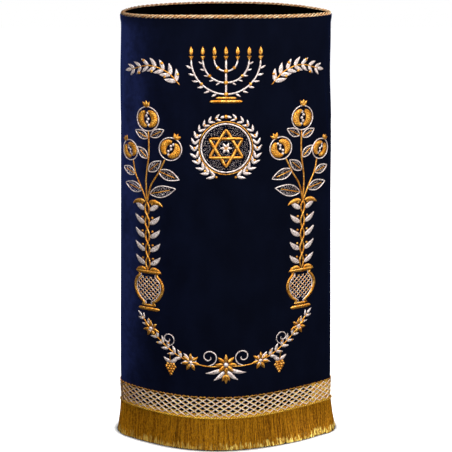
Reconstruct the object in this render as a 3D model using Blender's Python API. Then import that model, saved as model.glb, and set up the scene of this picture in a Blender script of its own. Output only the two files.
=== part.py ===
"""Mantle for a Torah scroll: a hollow velvet cover that stands on its hem, open at the top and the foot.

Metres, +Z up, the front towards -Y, the origin on the floor under the middle. Every piece follows
one outline, which is given by a bearing and a height. Bearing 0 is the right side seam, a quarter
turn is the middle of the back, half a turn the left seam, three quarters the middle of the front.
"""

import math
from collections import namedtuple

import bmesh
import bpy
import numpy as np

HEIGHT = 0.742  # floor to the top of the rim cord, at the middle of the front
RIM_HALF_WIDTH = 0.1705
RIM_HALF_DEPTH = 0.0768
HEM_HALF_WIDTH = 0.183
HEM_HALF_DEPTH = 0.091
HEM_TURN = 0.003  # how far the hem is turned: its left seam comes forward, its right one goes back
SEAM_DROP = 0.0045  # how much lower the rim is at the side seams
SEAM_DROP_POWER = 2.4

GAP = 0.0003  # between two pieces that touch
VELVET = 0.0022  # velvet, with the stiffening behind it
LINING = 0.0010
LINING_GAP = 0.0012  # the lining hangs a little free of the velvet
LINING_FOOT = 0.015
LINING_DROP = 0.0010  # how far the lining stops below the velvet's top edge

CORD_RADIUS = 0.0030
CORD_VALLEY = 0.0021  # radius between two of the three plies
CORD_PLIES = 3
CORD_RIDGES = 96  # ridges that the twist shows along the whole rim
CORD_STEPS_PER_RIDGE = 3

BRAID_TOP = 0.0955
BRAID_BODY = 0.0013
BRAID_EDGE = 0.0018
BRAID_BEAD = 0.0024
BRAID_BEAD_WIDTH = 0.0035

FRINGE_HEADING_TOP = 0.0595
FRINGE_HEADING_FOOT = 0.0545
FRINGE_THICK = 0.0020
FRINGE_PITCH = 0.0036
FRINGE_SLACK = 0.28  # share of the pitch that is left open between two strands
FRINGE_SPREAD_SIDE = 0.0092  # how far the tips stand out from the heading at the side seams
FRINGE_SPREAD_FRONT = 0.0050
FRINGE_TIP_SCALE = 0.75
FRINGE_SWAY = 0.0005

PANEL_COLUMNS = 32
WALL_STEPS_ABOVE_BRAID = 9
LINING_STEPS = 4

# How full the outline is against a plain oval, round the rim and round the hem. The rim is held
# open by its cord, while the hem is flatter and draws in towards the right seam.
Fullness = namedtuple("Fullness", "degrees rim hem")
FULLNESS = (
    Fullness(0.0, 0.70, 0.44),
    Fullness(22.5, 0.79, 0.54),
    Fullness(45.0, 0.96, 0.72),
    Fullness(67.5, 1.02, 0.91),
    Fullness(90.0, 1.00, 1.00),
    Fullness(112.5, 1.04, 0.98),
    Fullness(135.0, 1.12, 0.90),
    Fullness(157.5, 1.14, 0.76),
    Fullness(180.0, 1.13, 0.62),
    Fullness(202.5, 1.14, 0.66),
    Fullness(225.0, 1.12, 0.82),
    Fullness(247.5, 1.04, 0.97),
    Fullness(270.0, 1.00, 1.00),
    Fullness(292.5, 1.02, 0.86),
    Fullness(315.0, 0.96, 0.63),
    Fullness(337.5, 0.79, 0.45),
)

# How far each side stands outside the straight line from rim to hem, by height.
Bow = namedtuple("Bow", "height left right")
BOWS = (
    Bow(0.000, 0.0000, 0.0000),
    Bow(0.100, 0.0000, 0.0000),
    Bow(0.300, 0.0013, -0.0014),
    Bow(0.490, 0.0012, -0.0014),
    Bow(0.570, 0.0004, 0.0006),
    Bow(0.645, 0.0010, -0.0008),
    Bow(0.700, 0.0000, 0.0014),
    Bow(0.742, 0.0000, 0.0000),
)

WALL_TOP = HEIGHT - 2 * CORD_RADIUS - GAP
FULL_TURN = 2 * math.pi


def through(at, knots, values):
    """Read a smooth curve through the knots at the given places: a cubic Hermite curve whose slope
    at a knot is that between its two neighbours."""
    knots, values = np.asarray(knots), np.asarray(values)
    slopes = np.gradient(values, knots)
    right = np.clip(np.searchsorted(knots, at), 1, len(knots) - 1)
    left = right - 1
    span = knots[right] - knots[left]
    t = (at - knots[left]) / span
    return (
        values[left] * (1 + 2 * t) * (1 - t) ** 2
        + slopes[left] * span * t * (1 - t) ** 2
        + values[right] * t**2 * (3 - 2 * t)
        + slopes[right] * span * t**2 * (t - 1)
    )


def fullness(bearing, column):
    """Fullness round the loop, from the table repeated before and after one turn."""
    degrees = np.array([row.degrees for row in FULLNESS])
    values = np.array([getattr(row, column) for row in FULLNESS])
    knots = np.concatenate([degrees - 360, degrees, degrees + 360])
    return through(np.degrees(bearing) % 360, knots, np.tile(values, 3))


def bow(height, column):
    return through(height, [row.height for row in BOWS], [getattr(row, column) for row in BOWS])


def outline(bearing, height):
    """Plan position of the velvet's outer face at a bearing and a nominal height."""
    fall = 1 - height / HEIGHT
    half_width = RIM_HALF_WIDTH + (HEM_HALF_WIDTH - RIM_HALF_WIDTH) * fall
    half_depth = RIM_HALF_DEPTH + (HEM_HALF_DEPTH - RIM_HALF_DEPTH) * fall
    full = fullness(bearing, "rim") * (1 - fall) + fullness(bearing, "hem") * fall
    to_right = np.clip(np.cos(bearing), 0, 1) ** 2
    to_left = np.clip(-np.cos(bearing), 0, 1) ** 2
    x = half_width * np.cos(bearing) + bow(height, "right") * to_right - bow(height, "left") * to_left
    y = half_depth * full * np.sin(bearing) + HEM_TURN * fall * np.cos(bearing)
    return x, y


def place(bearing, height, out):
    """Point at a distance outside the velvet's outer face. The height is nominal: each panel is cut
    a little shorter towards its side seams."""
    bearing, height, out = np.broadcast_arrays(bearing, height, out)
    x, y = outline(bearing, height)
    step = 1e-4
    x_next, y_next = outline(bearing + step, height)
    x_last, y_last = outline(bearing - step, height)
    along_x, along_y = x_next - x_last, y_next - y_last
    length = np.hypot(along_x, along_y)
    drop = SEAM_DROP / HEIGHT * np.abs(np.cos(bearing)) ** SEAM_DROP_POWER
    return np.stack(
        [x + out * along_y / length, y - out * along_x / length, height * (1 - drop)], axis=-1
    )


def material(name, colour, roughness, metallic=0.0):
    made = bpy.data.materials.new(name)
    made.use_nodes = True
    shader = made.node_tree.nodes["Principled BSDF"]
    shader.inputs["Base Color"].default_value = (*colour, 1.0)
    shader.inputs["Roughness"].default_value = roughness
    shader.inputs["Metallic"].default_value = metallic
    return made


def add_object(name, shape, finish):
    """Turn a finished bmesh into an object with its faces pointing out."""
    bmesh.ops.recalc_face_normals(shape, faces=shape.faces)
    mesh = bpy.data.meshes.new(name)
    shape.to_mesh(mesh)
    shape.free()
    mesh.shade_smooth()
    mesh.set_sharp_from_angle(angle=math.radians(40))
    mesh.materials.append(finish)
    obj = bpy.data.objects.new(name, mesh)
    bpy.context.scene.collection.objects.link(obj)
    return obj


def sweep(name, sections, finish, closed):
    """Skin a row of closed sections, an array of sections by points. A closed row joins its last
    section to its first; an open one gets ladder-like end faces, for sections that run up one side
    and down the other."""
    shape = bmesh.new()
    verts = [[shape.verts.new(point) for point in section] for section in sections]
    points = len(verts[0])
    for i in range(len(verts) if closed else len(verts) - 1):
        here, there = verts[i], verts[(i + 1) % len(verts)]
        for j in range(points):
            k = (j + 1) % points
            shape.faces.new((here[j], there[j], there[k], here[k]))
    if not closed:
        for end in (verts[0], verts[-1]):
            for j in range(points // 2 - 1):
                shape.faces.new((end[j], end[j + 1], end[-j - 2], end[-j - 1]))
    return add_object(name, shape, finish)


def wall_sections(bearings, heights, outer, inner):
    """Sections of a wall between two offsets: up the outer face, then down the inner one."""
    outside = place(bearings[:, None], heights[None, :], outer)
    inside = place(bearings[:, None], heights[None, ::-1], inner)
    return np.concatenate([outside, inside], axis=1)


def wall_heights():
    above = np.linspace(BRAID_TOP, WALL_TOP, WALL_STEPS_ABOVE_BRAID + 1)
    return np.concatenate([[0.0], above])


def add_panel(name, first_bearing, towards_back, finish):
    """Half of the velvet wall, from seam to seam. Its end columns stand half a gap off the seam."""
    bearings = first_bearing + np.linspace(0, math.pi, PANEL_COLUMNS + 1)
    sections = wall_sections(bearings, wall_heights(), 0.0, -VELVET)
    sections[[0, -1], :, 1] += towards_back * GAP / 2
    return sweep(name, sections, finish, closed=False)


def ring_bearings():
    return np.linspace(0, FULL_TURN, 2 * PANEL_COLUMNS, endpoint=False)


def add_lining(finish):
    """Black lining, hung inside the velvet from just under its top edge to just above the floor."""
    heights = np.linspace(LINING_FOOT, WALL_TOP - LINING_DROP, LINING_STEPS + 1)
    outer = -VELVET - LINING_GAP
    return sweep(
        "lining", wall_sections(ring_bearings(), heights, outer, outer - LINING), finish, closed=True
    )


def even_rim(count):
    """Bearings of points that are evenly spaced along the rim."""
    fine = np.linspace(0, FULL_TURN, 40 * PANEL_COLUMNS + 1)
    points = place(fine, WALL_TOP, -VELVET / 2)
    along = np.concatenate([[0], np.cumsum(np.linalg.norm(np.diff(points, axis=0), axis=1))])
    return np.interp(np.linspace(0, along[-1], count, endpoint=False), along, fine)


def add_rim_cord(finish):
    """Three-ply gold cord along the velvet's top edge. Its section has a ridge for each ply, and
    turns by one ply for each ridge that shows along the rim."""
    count = CORD_RIDGES * CORD_STEPS_PER_RIDGE
    centres = place(even_rim(count), WALL_TOP, -VELVET / 2)
    centres[:, 2] += GAP + CORD_RADIUS
    along = np.roll(centres, -1, axis=0) - np.roll(centres, 1, axis=0)
    along /= np.linalg.norm(along, axis=1, keepdims=True)
    side = np.cross(along, (0.0, 0.0, 1.0))
    side /= np.linalg.norm(side, axis=1, keepdims=True)
    up = np.cross(side, along)
    spin = np.arange(count) * FULL_TURN / (CORD_PLIES * CORD_STEPS_PER_RIDGE)
    corners = np.arange(2 * CORD_PLIES)
    angle = spin[:, None] + corners * FULL_TURN / len(corners)
    radius = np.where(corners % 2 == 0, CORD_RADIUS, CORD_VALLEY)
    sections = (
        centres[:, None]
        + (radius * np.cos(angle))[..., None] * side[:, None]
        + (radius * np.sin(angle))[..., None] * up[:, None]
    )
    return sweep("rim_cord", sections, finish, closed=True)


def add_lattice_braid(finish):
    """Woven braid above the fringe: a flat band with a beaded edge at its top and foot."""
    foot = FRINGE_HEADING_TOP + GAP
    bead = BRAID_BEAD_WIDTH
    profile = np.array(
        [
            (0.0, foot),
            (BRAID_EDGE, foot),
            (BRAID_BEAD, foot + bead / 2),
            (BRAID_EDGE, foot + bead),
            (BRAID_BODY, foot + 1.3 * bead),
            (BRAID_BODY, BRAID_TOP - 1.3 * bead),
            (BRAID_EDGE, BRAID_TOP - bead),
            (BRAID_BEAD, BRAID_TOP - bead / 2),
            (BRAID_EDGE, BRAID_TOP),
            (0.0, BRAID_TOP),
        ]
    )
    bearings = ring_bearings()[:, None]
    sections = place(bearings, profile[None, :, 1], GAP + profile[None, :, 0])
    return sweep("lattice_braid", sections, finish, closed=True)


def strand_edges(width):
    """Shares of a heading column at which its strands begin and end: half a gap, then strands and
    gaps in turn, then half a gap."""
    count = max(1, round(width / FRINGE_PITCH))
    starts = (np.arange(count) + FRINGE_SLACK / 2) / count
    ends = (np.arange(count) + 1 - FRINGE_SLACK / 2) / count
    return np.stack([starts, ends], axis=1)


def tip_spread(bearing):
    """How far a strand's tip stands out from its root."""
    side = abs(math.cos(bearing))
    return FRINGE_SPREAD_FRONT + (FRINGE_SPREAD_SIDE - FRINGE_SPREAD_FRONT) * side


def add_strand(shape, root, outward, spread, sway):
    """Extrude one four-sided strand from its root quad down to the floor: it bends outwards, narrows
    and ends level."""
    centre = sum((vert.co for vert in root), root[0].co * 0) / len(root)
    ring = root
    for share, narrow in ((0.5, 0.9), (1.0, FRINGE_TIP_SCALE)):
        drift = outward * spread * share**1.5 + sway * share
        lower = []
        for vert in root:
            point = centre + (vert.co - centre) * narrow + drift
            point.z = vert.co.z * (1 - share)
            lower.append(shape.verts.new(point))
        for j in range(len(root)):
            k = (j + 1) % len(root)
            shape.faces.new((ring[j], ring[k], lower[k], lower[j]))
        ring = lower
    shape.faces.new(ring)


def add_fringe(finish):
    """Gold fringe: a narrow heading outside the velvet, and strands that hang from it to the floor.
    The heading has the velvet's columns, and each column holds as many strands as fit."""
    shape = bmesh.new()
    chance = np.random.default_rng(7)
    bearings = ring_bearings()
    outer, inner = GAP + FRINGE_THICK, GAP
    corners = {
        (side, level): [shape.verts.new(p) for p in place(bearings, height, out)]
        for side, out in (("outer", outer), ("inner", inner))
        for level, height in (("top", FRINGE_HEADING_TOP), ("foot", FRINGE_HEADING_FOOT))
    }
    for i, bearing in enumerate(bearings):
        k = (i + 1) % len(bearings)
        (outer_top, inner_top, outer_foot, inner_foot) = (
            (corners[side, level][i], corners[side, level][k])
            for level in ("top", "foot")
            for side in ("outer", "inner")
        )
        run = outer_foot[1].co - outer_foot[0].co
        outward = run.cross((0.0, 0.0, 1.0)).normalized()
        shares = strand_edges(run.length).ravel()
        outer_row = [shape.verts.new(outer_foot[0].co.lerp(outer_foot[1].co, s)) for s in shares]
        inner_row = [shape.verts.new(inner_foot[0].co.lerp(inner_foot[1].co, s)) for s in shares]
        outer_row = [outer_foot[0], *outer_row, outer_foot[1]]
        inner_row = [inner_foot[0], *inner_row, inner_foot[1]]
        shape.faces.new((outer_top[0], outer_top[1], inner_top[1], inner_top[0]))
        shape.faces.new((*outer_top, *reversed(outer_row)))
        shape.faces.new((*inner_top, *reversed(inner_row)))
        for j in range(len(outer_row) - 1):
            quad = (outer_row[j], outer_row[j + 1], inner_row[j + 1], inner_row[j])
            if j % 2 == 0:
                shape.faces.new(quad)
                continue
            across, out = chance.uniform(-1, 1), chance.uniform(0, 2)
            sway = (run.normalized() * across + outward * out) * FRINGE_SWAY
            add_strand(shape, quad, outward, tip_spread(bearing), sway)
    return add_object("fringe", shape, finish)


def clear_scene():
    for obj in list(bpy.data.objects):
        bpy.data.objects.remove(obj, do_unlink=True)


def main():
    clear_scene()
    bpy.context.scene.unit_settings.system = "METRIC"
    velvet = material("velvet", (0.006, 0.008, 0.022), 0.85)
    black_satin = material("black_satin", (0.003, 0.003, 0.004), 0.5)
    gold_cord = material("gold_cord", (0.62, 0.36, 0.13), 0.38, 0.7)
    silver_lattice = material("silver_lattice", (0.62, 0.58, 0.52), 0.35, 0.7)
    gold_fringe = material("gold_fringe", (0.55, 0.33, 0.08), 0.42, 0.6)

    add_panel("back_panel", 0.0, 1.0, velvet)
    add_panel("front_panel", math.pi, -1.0, velvet)
    add_lining(black_satin)
    add_rim_cord(gold_cord)
    add_lattice_braid(silver_lattice)
    add_fringe(gold_fringe)


main()
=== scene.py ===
# %% [markdown]
# # A velvet mantle for a Torah scroll
#
# The real thing is a sleeve of dark blue velvet, stiff enough to stand by itself. It is open at the
# top and at the foot. A twisted gold cord is sewn round its rim, a silver and gold lattice braid and
# a gold fringe are sewn round its hem, and its front is embroidered in metal thread. The solids are
# already packed, so this lesson loads them as a fixed frame and dresses them. Every surface is
# worked out with numpy as a grid of points and then handed to Blender.

import math
from collections import namedtuple

import bpy
import numpy as np
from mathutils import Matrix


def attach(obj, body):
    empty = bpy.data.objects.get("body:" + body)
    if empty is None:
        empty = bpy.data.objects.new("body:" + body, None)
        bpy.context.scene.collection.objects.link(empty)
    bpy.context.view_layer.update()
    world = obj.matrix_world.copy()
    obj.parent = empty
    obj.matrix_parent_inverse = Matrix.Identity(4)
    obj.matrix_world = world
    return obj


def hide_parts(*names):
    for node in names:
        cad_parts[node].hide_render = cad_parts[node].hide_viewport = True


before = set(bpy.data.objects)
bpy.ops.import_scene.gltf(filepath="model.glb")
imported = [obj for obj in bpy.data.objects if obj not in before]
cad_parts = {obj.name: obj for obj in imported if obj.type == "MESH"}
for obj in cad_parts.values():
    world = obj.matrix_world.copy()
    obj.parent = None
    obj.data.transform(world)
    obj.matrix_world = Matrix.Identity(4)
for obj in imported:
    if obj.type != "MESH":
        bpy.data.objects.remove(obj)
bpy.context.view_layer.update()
print("solids:", sorted(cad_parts))

# %% [markdown]
# ## The camera
#
# A photograph can be matched by eye, or by fitting a pinhole camera to lines whose real size is
# known. Here the rim, the braid and the fringe were fitted. That gives a long lens, well back, which
# looks down by 17 degrees, so the upright sides lean in towards the foot as in the photograph.

# %% The camera
EYE = (0.0, -2.308, 1.0721)  # metres from the middle of the cover's foot
LOOK_DOWN = math.radians(16.89)
LENS_MM = 112.86
SENSOR_MM = 36.0


def add_object(name, data):
    """A new object in the scene."""
    made = bpy.data.objects.new(name, data)
    bpy.context.scene.collection.objects.link(made)
    return made


lens = bpy.data.cameras.new("photo_camera")
lens.lens = LENS_MM
lens.sensor_width = SENSOR_MM
camera = add_object("photo_camera", lens)
camera.location = EYE
camera.rotation_euler = (math.pi / 2 - LOOK_DOWN, 0.0, 0.0)
bpy.context.scene.camera = camera
print(f"camera: {LENS_MM} mm lens, {math.degrees(LOOK_DOWN):.1f} degrees down")

# %% [markdown]
# ## One outline for every piece
#
# The velvet, the lining, the cord, the braid, the fringe and each stitch follow the same shape. It
# could be modelled once and the rest snapped to it, but a formula is simpler: a bearing round the
# cover and a height give a point of the velvet's face. Bearing 0 is the right side seam, a quarter
# turn the middle of the back, half a turn the left seam, and three quarters the middle of the front.
# The sizes are those of the solids, but the sides bow up to 3 mm more and the rim's left back corner
# is up to 6 mm fuller, as they look in the photograph.

# %% Sizes of the cover
MM = 0.001
FULL_TURN = 2 * math.pi
HEIGHT = 0.742  # floor to the top of the rim cord
RIM_HALF_WIDTH = 0.1705
RIM_HALF_DEPTH = 0.0768
HEM_HALF_WIDTH = 0.183
HEM_HALF_DEPTH = 0.091
HEM_TURN = 0.003  # the hem's left seam comes forward by this, its right one goes back
SEAM_DROP = 0.0045  # how much lower the rim is at the side seams
SEAM_DROP_POWER = 2.4
GAP = 0.0003  # between two pieces that touch
CORD_RADIUS = 0.0030
WALL_TOP = HEIGHT - 2 * CORD_RADIUS - GAP

# How full the outline is against a plain oval, at sixteen bearings.
FULL_DEGREES = np.arange(16) * 22.5
RIM_FULLNESS = (
    *(0.70, 0.79, 0.96, 1.02, 1.00, 1.04, 1.12, 1.33),  # the back, from the right seam to the left
    *(1.30, 1.14, 1.12, 1.04, 1.00, 1.02, 0.96, 0.79),  # the front, from the left seam to the right
)
HEM_FULLNESS = (
    *(0.44, 0.54, 0.72, 0.91, 1.00, 0.98, 0.90, 0.76),
    *(0.62, 0.66, 0.82, 0.97, 1.00, 0.86, 0.63, 0.45),
)

# How far each side stands outside the straight line from rim to hem, in millimetres.
BOW_HEIGHTS = (0.0, 0.060, 0.100, 0.160, 0.300, 0.420, 0.570, 0.645, 0.700, 0.742)
LEFT_BOW = (0.0, 1.0, 3.0, 3.3, 2.6, 2.0, 1.5, 1.7, 0.6, 0.0)
RIGHT_BOW = (0.0, 0.8, 2.0, 2.1, 1.8, 1.4, 1.4, -0.6, 0.2, 0.0)
print(f"velvet wall: {WALL_TOP / MM:.1f} mm high")

# %% Smooth curves through knots
def through(at, knots, values):
    """A cubic Hermite curve through the knots. Its slope at a knot is that between the knot's two
    neighbours, so the curve has no corners."""
    knots, values = np.asarray(knots, float), np.asarray(values, float)
    slopes = np.gradient(values, knots)
    right = np.clip(np.searchsorted(knots, at), 1, len(knots) - 1)
    left = right - 1
    span = knots[right] - knots[left]
    t = (at - knots[left]) / span
    return (
        values[left] * (1 + 2 * t) * (1 - t) ** 2
        + slopes[left] * span * t * (1 - t) ** 2
        + values[right] * t**2 * (3 - 2 * t)
        + slopes[right] * span * t**2 * (t - 1)
    )


def around(bearing, degrees, values):
    """A curve round the loop: its knots are repeated before and after one turn."""
    knots = np.concatenate([degrees - 360, degrees, degrees + 360])
    return through(np.degrees(bearing) % 360, knots, np.tile(values, 3))


def smooth_step(low, high, value):
    """0 at low, 1 at high, and level at both ends."""
    t = np.clip((value - low) / (high - low), 0, 1)
    return t * t * (3 - 2 * t)


def outline(bearing, height):
    """Plan position: an oval whose half axes run straight from rim to hem, times the fullness, with
    the sides bowed and the hem turned a little."""
    fall = 1 - height / HEIGHT
    across = np.cos(bearing)
    half_width = RIM_HALF_WIDTH + (HEM_HALF_WIDTH - RIM_HALF_WIDTH) * fall
    half_depth = RIM_HALF_DEPTH + (HEM_HALF_DEPTH - RIM_HALF_DEPTH) * fall
    full = around(bearing, FULL_DEGREES, RIM_FULLNESS) * (1 - fall)
    full = full + around(bearing, FULL_DEGREES, HEM_FULLNESS) * fall
    right_bow = through(height, BOW_HEIGHTS, RIGHT_BOW) * MM * np.clip(across, 0, 1) ** 2
    left_bow = through(height, BOW_HEIGHTS, LEFT_BOW) * MM * np.clip(-across, 0, 1) ** 2
    x = half_width * across + right_bow - left_bow
    y = half_depth * full * np.sin(bearing) + HEM_TURN * fall * across
    return x, y

# %% [markdown]
# ## The creases
#
# Stiffened velvet hangs almost flat, but it is never quite smooth. It has a few long soft hollows
# from being folded away, and small puckers where the rim cord and the braid are sewn on. A cloth
# simulation would give creases where it likes. These are listed instead, each one a soft trough or
# ridge with its own length, width and lean, as a bell-shaped hill on the cloth.

# %% Creases in the velvet
CREASES = (  # bearing in degrees, height in metres, mm across and along, lean in degrees, depth in mm
    (191, 0.560, 9, 150, 2, -0.9),
    (199, 0.640, 10, 60, -6, 0.8),
    (205, 0.430, 14, 120, 4, -0.8),
    (213, 0.655, 12, 55, 9, -0.7),
    (218, 0.300, 16, 110, -5, 0.8),
    (229, 0.520, 20, 120, 5, -0.7),
    (243, 0.330, 26, 90, -9, 0.7),
    (256, 0.440, 30, 80, 12, -0.6),
    (270, 0.300, 34, 70, -16, 0.6),
    (286, 0.400, 28, 100, 10, -0.7),
    (300, 0.270, 24, 90, -7, 0.7),
    (318, 0.540, 18, 110, -4, -0.7),
    (332, 0.350, 13, 140, 5, 0.7),
    (345, 0.600, 9, 80, -3, -0.7),
    (351, 0.250, 8, 90, 2, -0.6),
    (20, 0.480, 14, 150, 3, -1.0),
    (42, 0.330, 20, 120, -8, 0.9),
    (66, 0.560, 28, 90, 12, -1.0),
    (90, 0.380, 32, 130, -5, 1.0),
    (116, 0.520, 26, 100, 9, -0.9),
    (140, 0.300, 20, 110, -10, 0.9),
    (163, 0.500, 13, 150, 4, -0.9),
)
CREASE_FOOT = (0.100, 0.135)  # the creases die out above the sewn braid, over this stretch
CREASE_HEAD = (0.735, 0.690)  # and below the sewn rim cord
MEAN_RADIUS = 0.135  # turns a bearing into a distance, near enough for a crease
PUCKER_WAVES = ((37, 0.10), (53, 0.07), (71, 0.05))  # waves round the cover, millimetres
PUCKER_FALL = 0.016  # the puckers fade over this distance from the sewing
SEWING_HEIGHTS = (0.0955, WALL_TOP)
SMALL_TURN = 1e-4  # for the direction of the outline


def ease(bearing, height):
    """How far the cloth stands out from its outline. A crease is its depth times exp(-a*a - b*b),
    where a and b are the distances across and along it in its own widths and lengths. The puckers
    are a sum of cosines round the cover that dies away from each line of sewing."""
    total = np.zeros(np.broadcast(bearing, height).shape)
    for degrees, level, width_mm, length_mm, lean_degrees, depth_mm in CREASES:
        turn = (bearing - math.radians(degrees) + math.pi) % FULL_TURN - math.pi
        side, up = turn * MEAN_RADIUS, height - level
        lean = math.radians(lean_degrees)
        across = (side * math.cos(lean) - up * math.sin(lean)) / (width_mm * MM)
        along = (side * math.sin(lean) + up * math.cos(lean)) / (length_mm * MM)
        total = total + depth_mm * MM * np.exp(-(across**2) - along**2)
    total *= smooth_step(*CREASE_FOOT, height) * smooth_step(*CREASE_HEAD, height)
    waves = sum(size * MM * np.cos(count * bearing + count) for count, size in PUCKER_WAVES)
    for level in SEWING_HEIGHTS:
        total = total + waves * np.exp(-(((height - level) / PUCKER_FALL) ** 2))
    return total


def place(bearing, height, out):
    """Point at a distance outside the velvet's face: the outline, moved along its plan normal by
    that distance and by the cloth's ease. The height is nominal, as each panel is cut a little
    shorter towards its side seams."""
    bearing, height, out = np.broadcast_arrays(bearing, height, out)
    x, y = outline(bearing, height)
    x_next, y_next = outline(bearing + SMALL_TURN, height)
    x_last, y_last = outline(bearing - SMALL_TURN, height)
    along_x, along_y = x_next - x_last, y_next - y_last
    stand = (out + ease(bearing, height)) / np.hypot(along_x, along_y)
    lower = 1 - SEAM_DROP / HEIGHT * np.abs(np.cos(bearing)) ** SEAM_DROP_POWER
    return np.stack([x + stand * along_y, y - stand * along_x, height * lower], axis=-1)


print(len(CREASES), "creases")

# %% [markdown]
# ## From grids of points to a mesh
#
# Almost everything on the cover is a row of rings: a wall is a flat ring carried round the cover, a
# thread is a small ring carried along its path. So one function joins rings with four-sided faces
# and closes the ends, and another hands points and faces to Blender. Each face corner also gets a
# texture position, the distance along the piece and the share round the ring, which the thread
# patterns of the finishes follow.

# %% Joining rings
Skin = namedtuple("Skin", "points faces marks")


def skin(sections, along, closed=False, thin=False):
    """Join rings into tubes. `sections` is tubes by rings by points, and `along` the distance of
    each ring, with one more value than rings where the tube is closed. Rings run anticlockwise seen
    from the far end, so that the faces point outwards. Ends are one face, or a ladder of faces where
    the ring is thin."""
    tubes, rings, sides = sections.shape[:3]
    numbers = np.arange(tubes * rings * sides).reshape(tubes, rings, sides)
    if closed:
        numbers = np.concatenate([numbers, numbers[:, :1]], axis=1)
    numbers = np.concatenate([numbers, numbers[:, :, :1]], axis=2)
    share = np.linspace(0, 1, sides + 1)
    marks = np.stack(np.broadcast_arrays(along[:, :, None], share), axis=-1)

    def sheet_faces(grid):
        quads = [grid[:, :-1, :-1], grid[:, :-1, 1:], grid[:, 1:, 1:], grid[:, 1:, :-1]]
        return np.stack(quads, axis=3).reshape(-1, 4, *grid.shape[3:])

    def end_faces(grid, last):
        ring = grid[:, -1 if last else 0, :-1]
        if thin:
            half = sides // 2
            back = ring[:, ::-1]
            ladder = [ring[:, : half - 1], ring[:, 1:half], back[:, 1:half], back[:, : half - 1]]
            ring = np.stack(ladder, axis=2).reshape(-1, 4, *ring.shape[2:])
        return ring if last else ring[:, ::-1]

    parts = [[sheet_faces(grid)] for grid in (numbers, marks)]
    if not closed:
        for part, grid in zip(parts, (numbers, marks)):
            part += [end_faces(grid, False), end_faces(grid, True)]
    return Skin(sections.reshape(-1, 3), *parts)

# %% Handing a piece to Blender
SHARP_ANGLE = math.radians(52)  # edges sharper than this stay sharp in the shading


def add_piece(name, skins, finish):
    """Put the skins together as one mesh object that rides on the cover."""
    firsts = np.cumsum([0] + [len(one.points) for one in skins])
    points = np.concatenate([one.points for one in skins])
    faces = [face + first for one, first in zip(skins, firsts) for face in one.faces]
    marks = np.concatenate([mark.reshape(-1, 2) for one in skins for mark in one.marks])
    corners = np.concatenate([face.ravel() for face in faces])
    counts = np.concatenate([np.full(len(face), face.shape[1]) for face in faces])

    mesh = bpy.data.meshes.new(name)
    mesh.vertices.add(len(points))
    mesh.vertices.foreach_set("co", points.astype(np.float32).ravel())
    mesh.loops.add(len(corners))
    mesh.loops.foreach_set("vertex_index", corners.astype(np.int32))
    mesh.polygons.add(len(counts))
    mesh.polygons.foreach_set("loop_start", (np.cumsum(counts) - counts).astype(np.int32))
    mesh.uv_layers.new(name="thread").data.foreach_set("uv", marks.astype(np.float32).ravel())
    mesh.update(calc_edges=True)
    mesh.validate()
    mesh.shade_smooth()
    mesh.set_sharp_from_angle(angle=SHARP_ANGLE)
    mesh.materials.append(finish.material)

    piece = add_object(name, mesh)
    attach(piece, "root")
    print(f"{name}: {len(points)} points, {(counts - 2).sum()} triangles")
    return piece

# %% [markdown]
# ## Finishes
#
# Each finish is a Principled shader. Numbers that are the same all over the surface are set on the
# shader itself, and nodes give what varies: the colour, the roughness and the relief. Cloth could
# be painted from pictures, but threads are so regular that a formula draws them better at any size.
# A small class keeps these formulas short.

# %% Helper for finishes
class Finish:
    """A material and its shader. Most methods add a node and give its result, and take plain values
    or other results."""

    def __init__(self, name, **numbers):
        self.material = bpy.data.materials.new(name)
        self.material.use_nodes = True
        self.tree = self.material.node_tree
        self.shader = self.tree.nodes["Principled BSDF"]
        for socket, value in numbers.items():
            self.shader.inputs[socket.replace("_", " ")].default_value = value
        print("finish:", name)

    def add(self, kind, inputs=None, output=0, **settings):
        """Any node."""
        made = self.tree.nodes.new("ShaderNode" + kind)
        for name, value in settings.items():
            setattr(made, name, value)
        for key, value in (inputs or {}).items():
            if isinstance(value, bpy.types.NodeSocket):
                self.tree.links.new(value, made.inputs[key])
            else:
                made.inputs[key].default_value = value
        return made.outputs[output]

    def reckon(self, operation, first, *others):
        """A sum of Math nodes, one for each further value."""
        for value in others or (0.0,):
            first = self.add("Math", {0: first, 1: value}, operation=operation)
        return first

    def blend(self, share, *colours):
        """A colour between two others."""
        first, second = ((*one, 1.0) if isinstance(one, tuple) else one for one in colours)
        return self.add("Mix", {0: share, 6: first, 7: second}, 2, data_type="RGBA")

    def remap(self, value, low, high, to_low=0.0, to_high=1.0, way="LINEAR"):
        """A value moved from one range to another, and held inside it."""
        inputs = {0: value, 1: low, 2: high, 3: to_low, 4: to_high}
        return self.add("MapRange", inputs, interpolation_type=way)

    def cloud(self, scale, detail, upright=1.0, *ranges):
        """Soft noise on the piece's own coordinates, drawn out upwards where `upright` is under 1."""
        where = self.add("TexCoord", output="Object")
        where = self.add("Mapping", {0: where, 3: (1.0, 1.0, upright)})
        noise = self.add("TexNoise", {"Vector": where, "Scale": scale, "Detail": detail})
        return self.remap(noise, *ranges) if ranges else noise

    def position(self, axis, *ranges):
        """Across, back or up, in metres."""
        where = self.add("TexCoord", output="Object")
        return self.remap(self.add("SeparateXYZ", {0: where}, axis), *ranges)

    def mark(self, number):
        """One of the two texture positions that the rings carry."""
        return self.add("SeparateXYZ", {0: self.add("UVMap", uv_map="thread")}, number)

    def feed(self, socket, result):
        """Link a result to the shader."""
        self.tree.links.new(result, self.shader.inputs[socket])

    def relief(self, height, distance, strength):
        """A height map as a bump, its distance in metres."""
        inputs = {"Height": height, "Distance": distance, "Strength": strength}
        self.feed("Normal", self.add("Bump", inputs))
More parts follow.
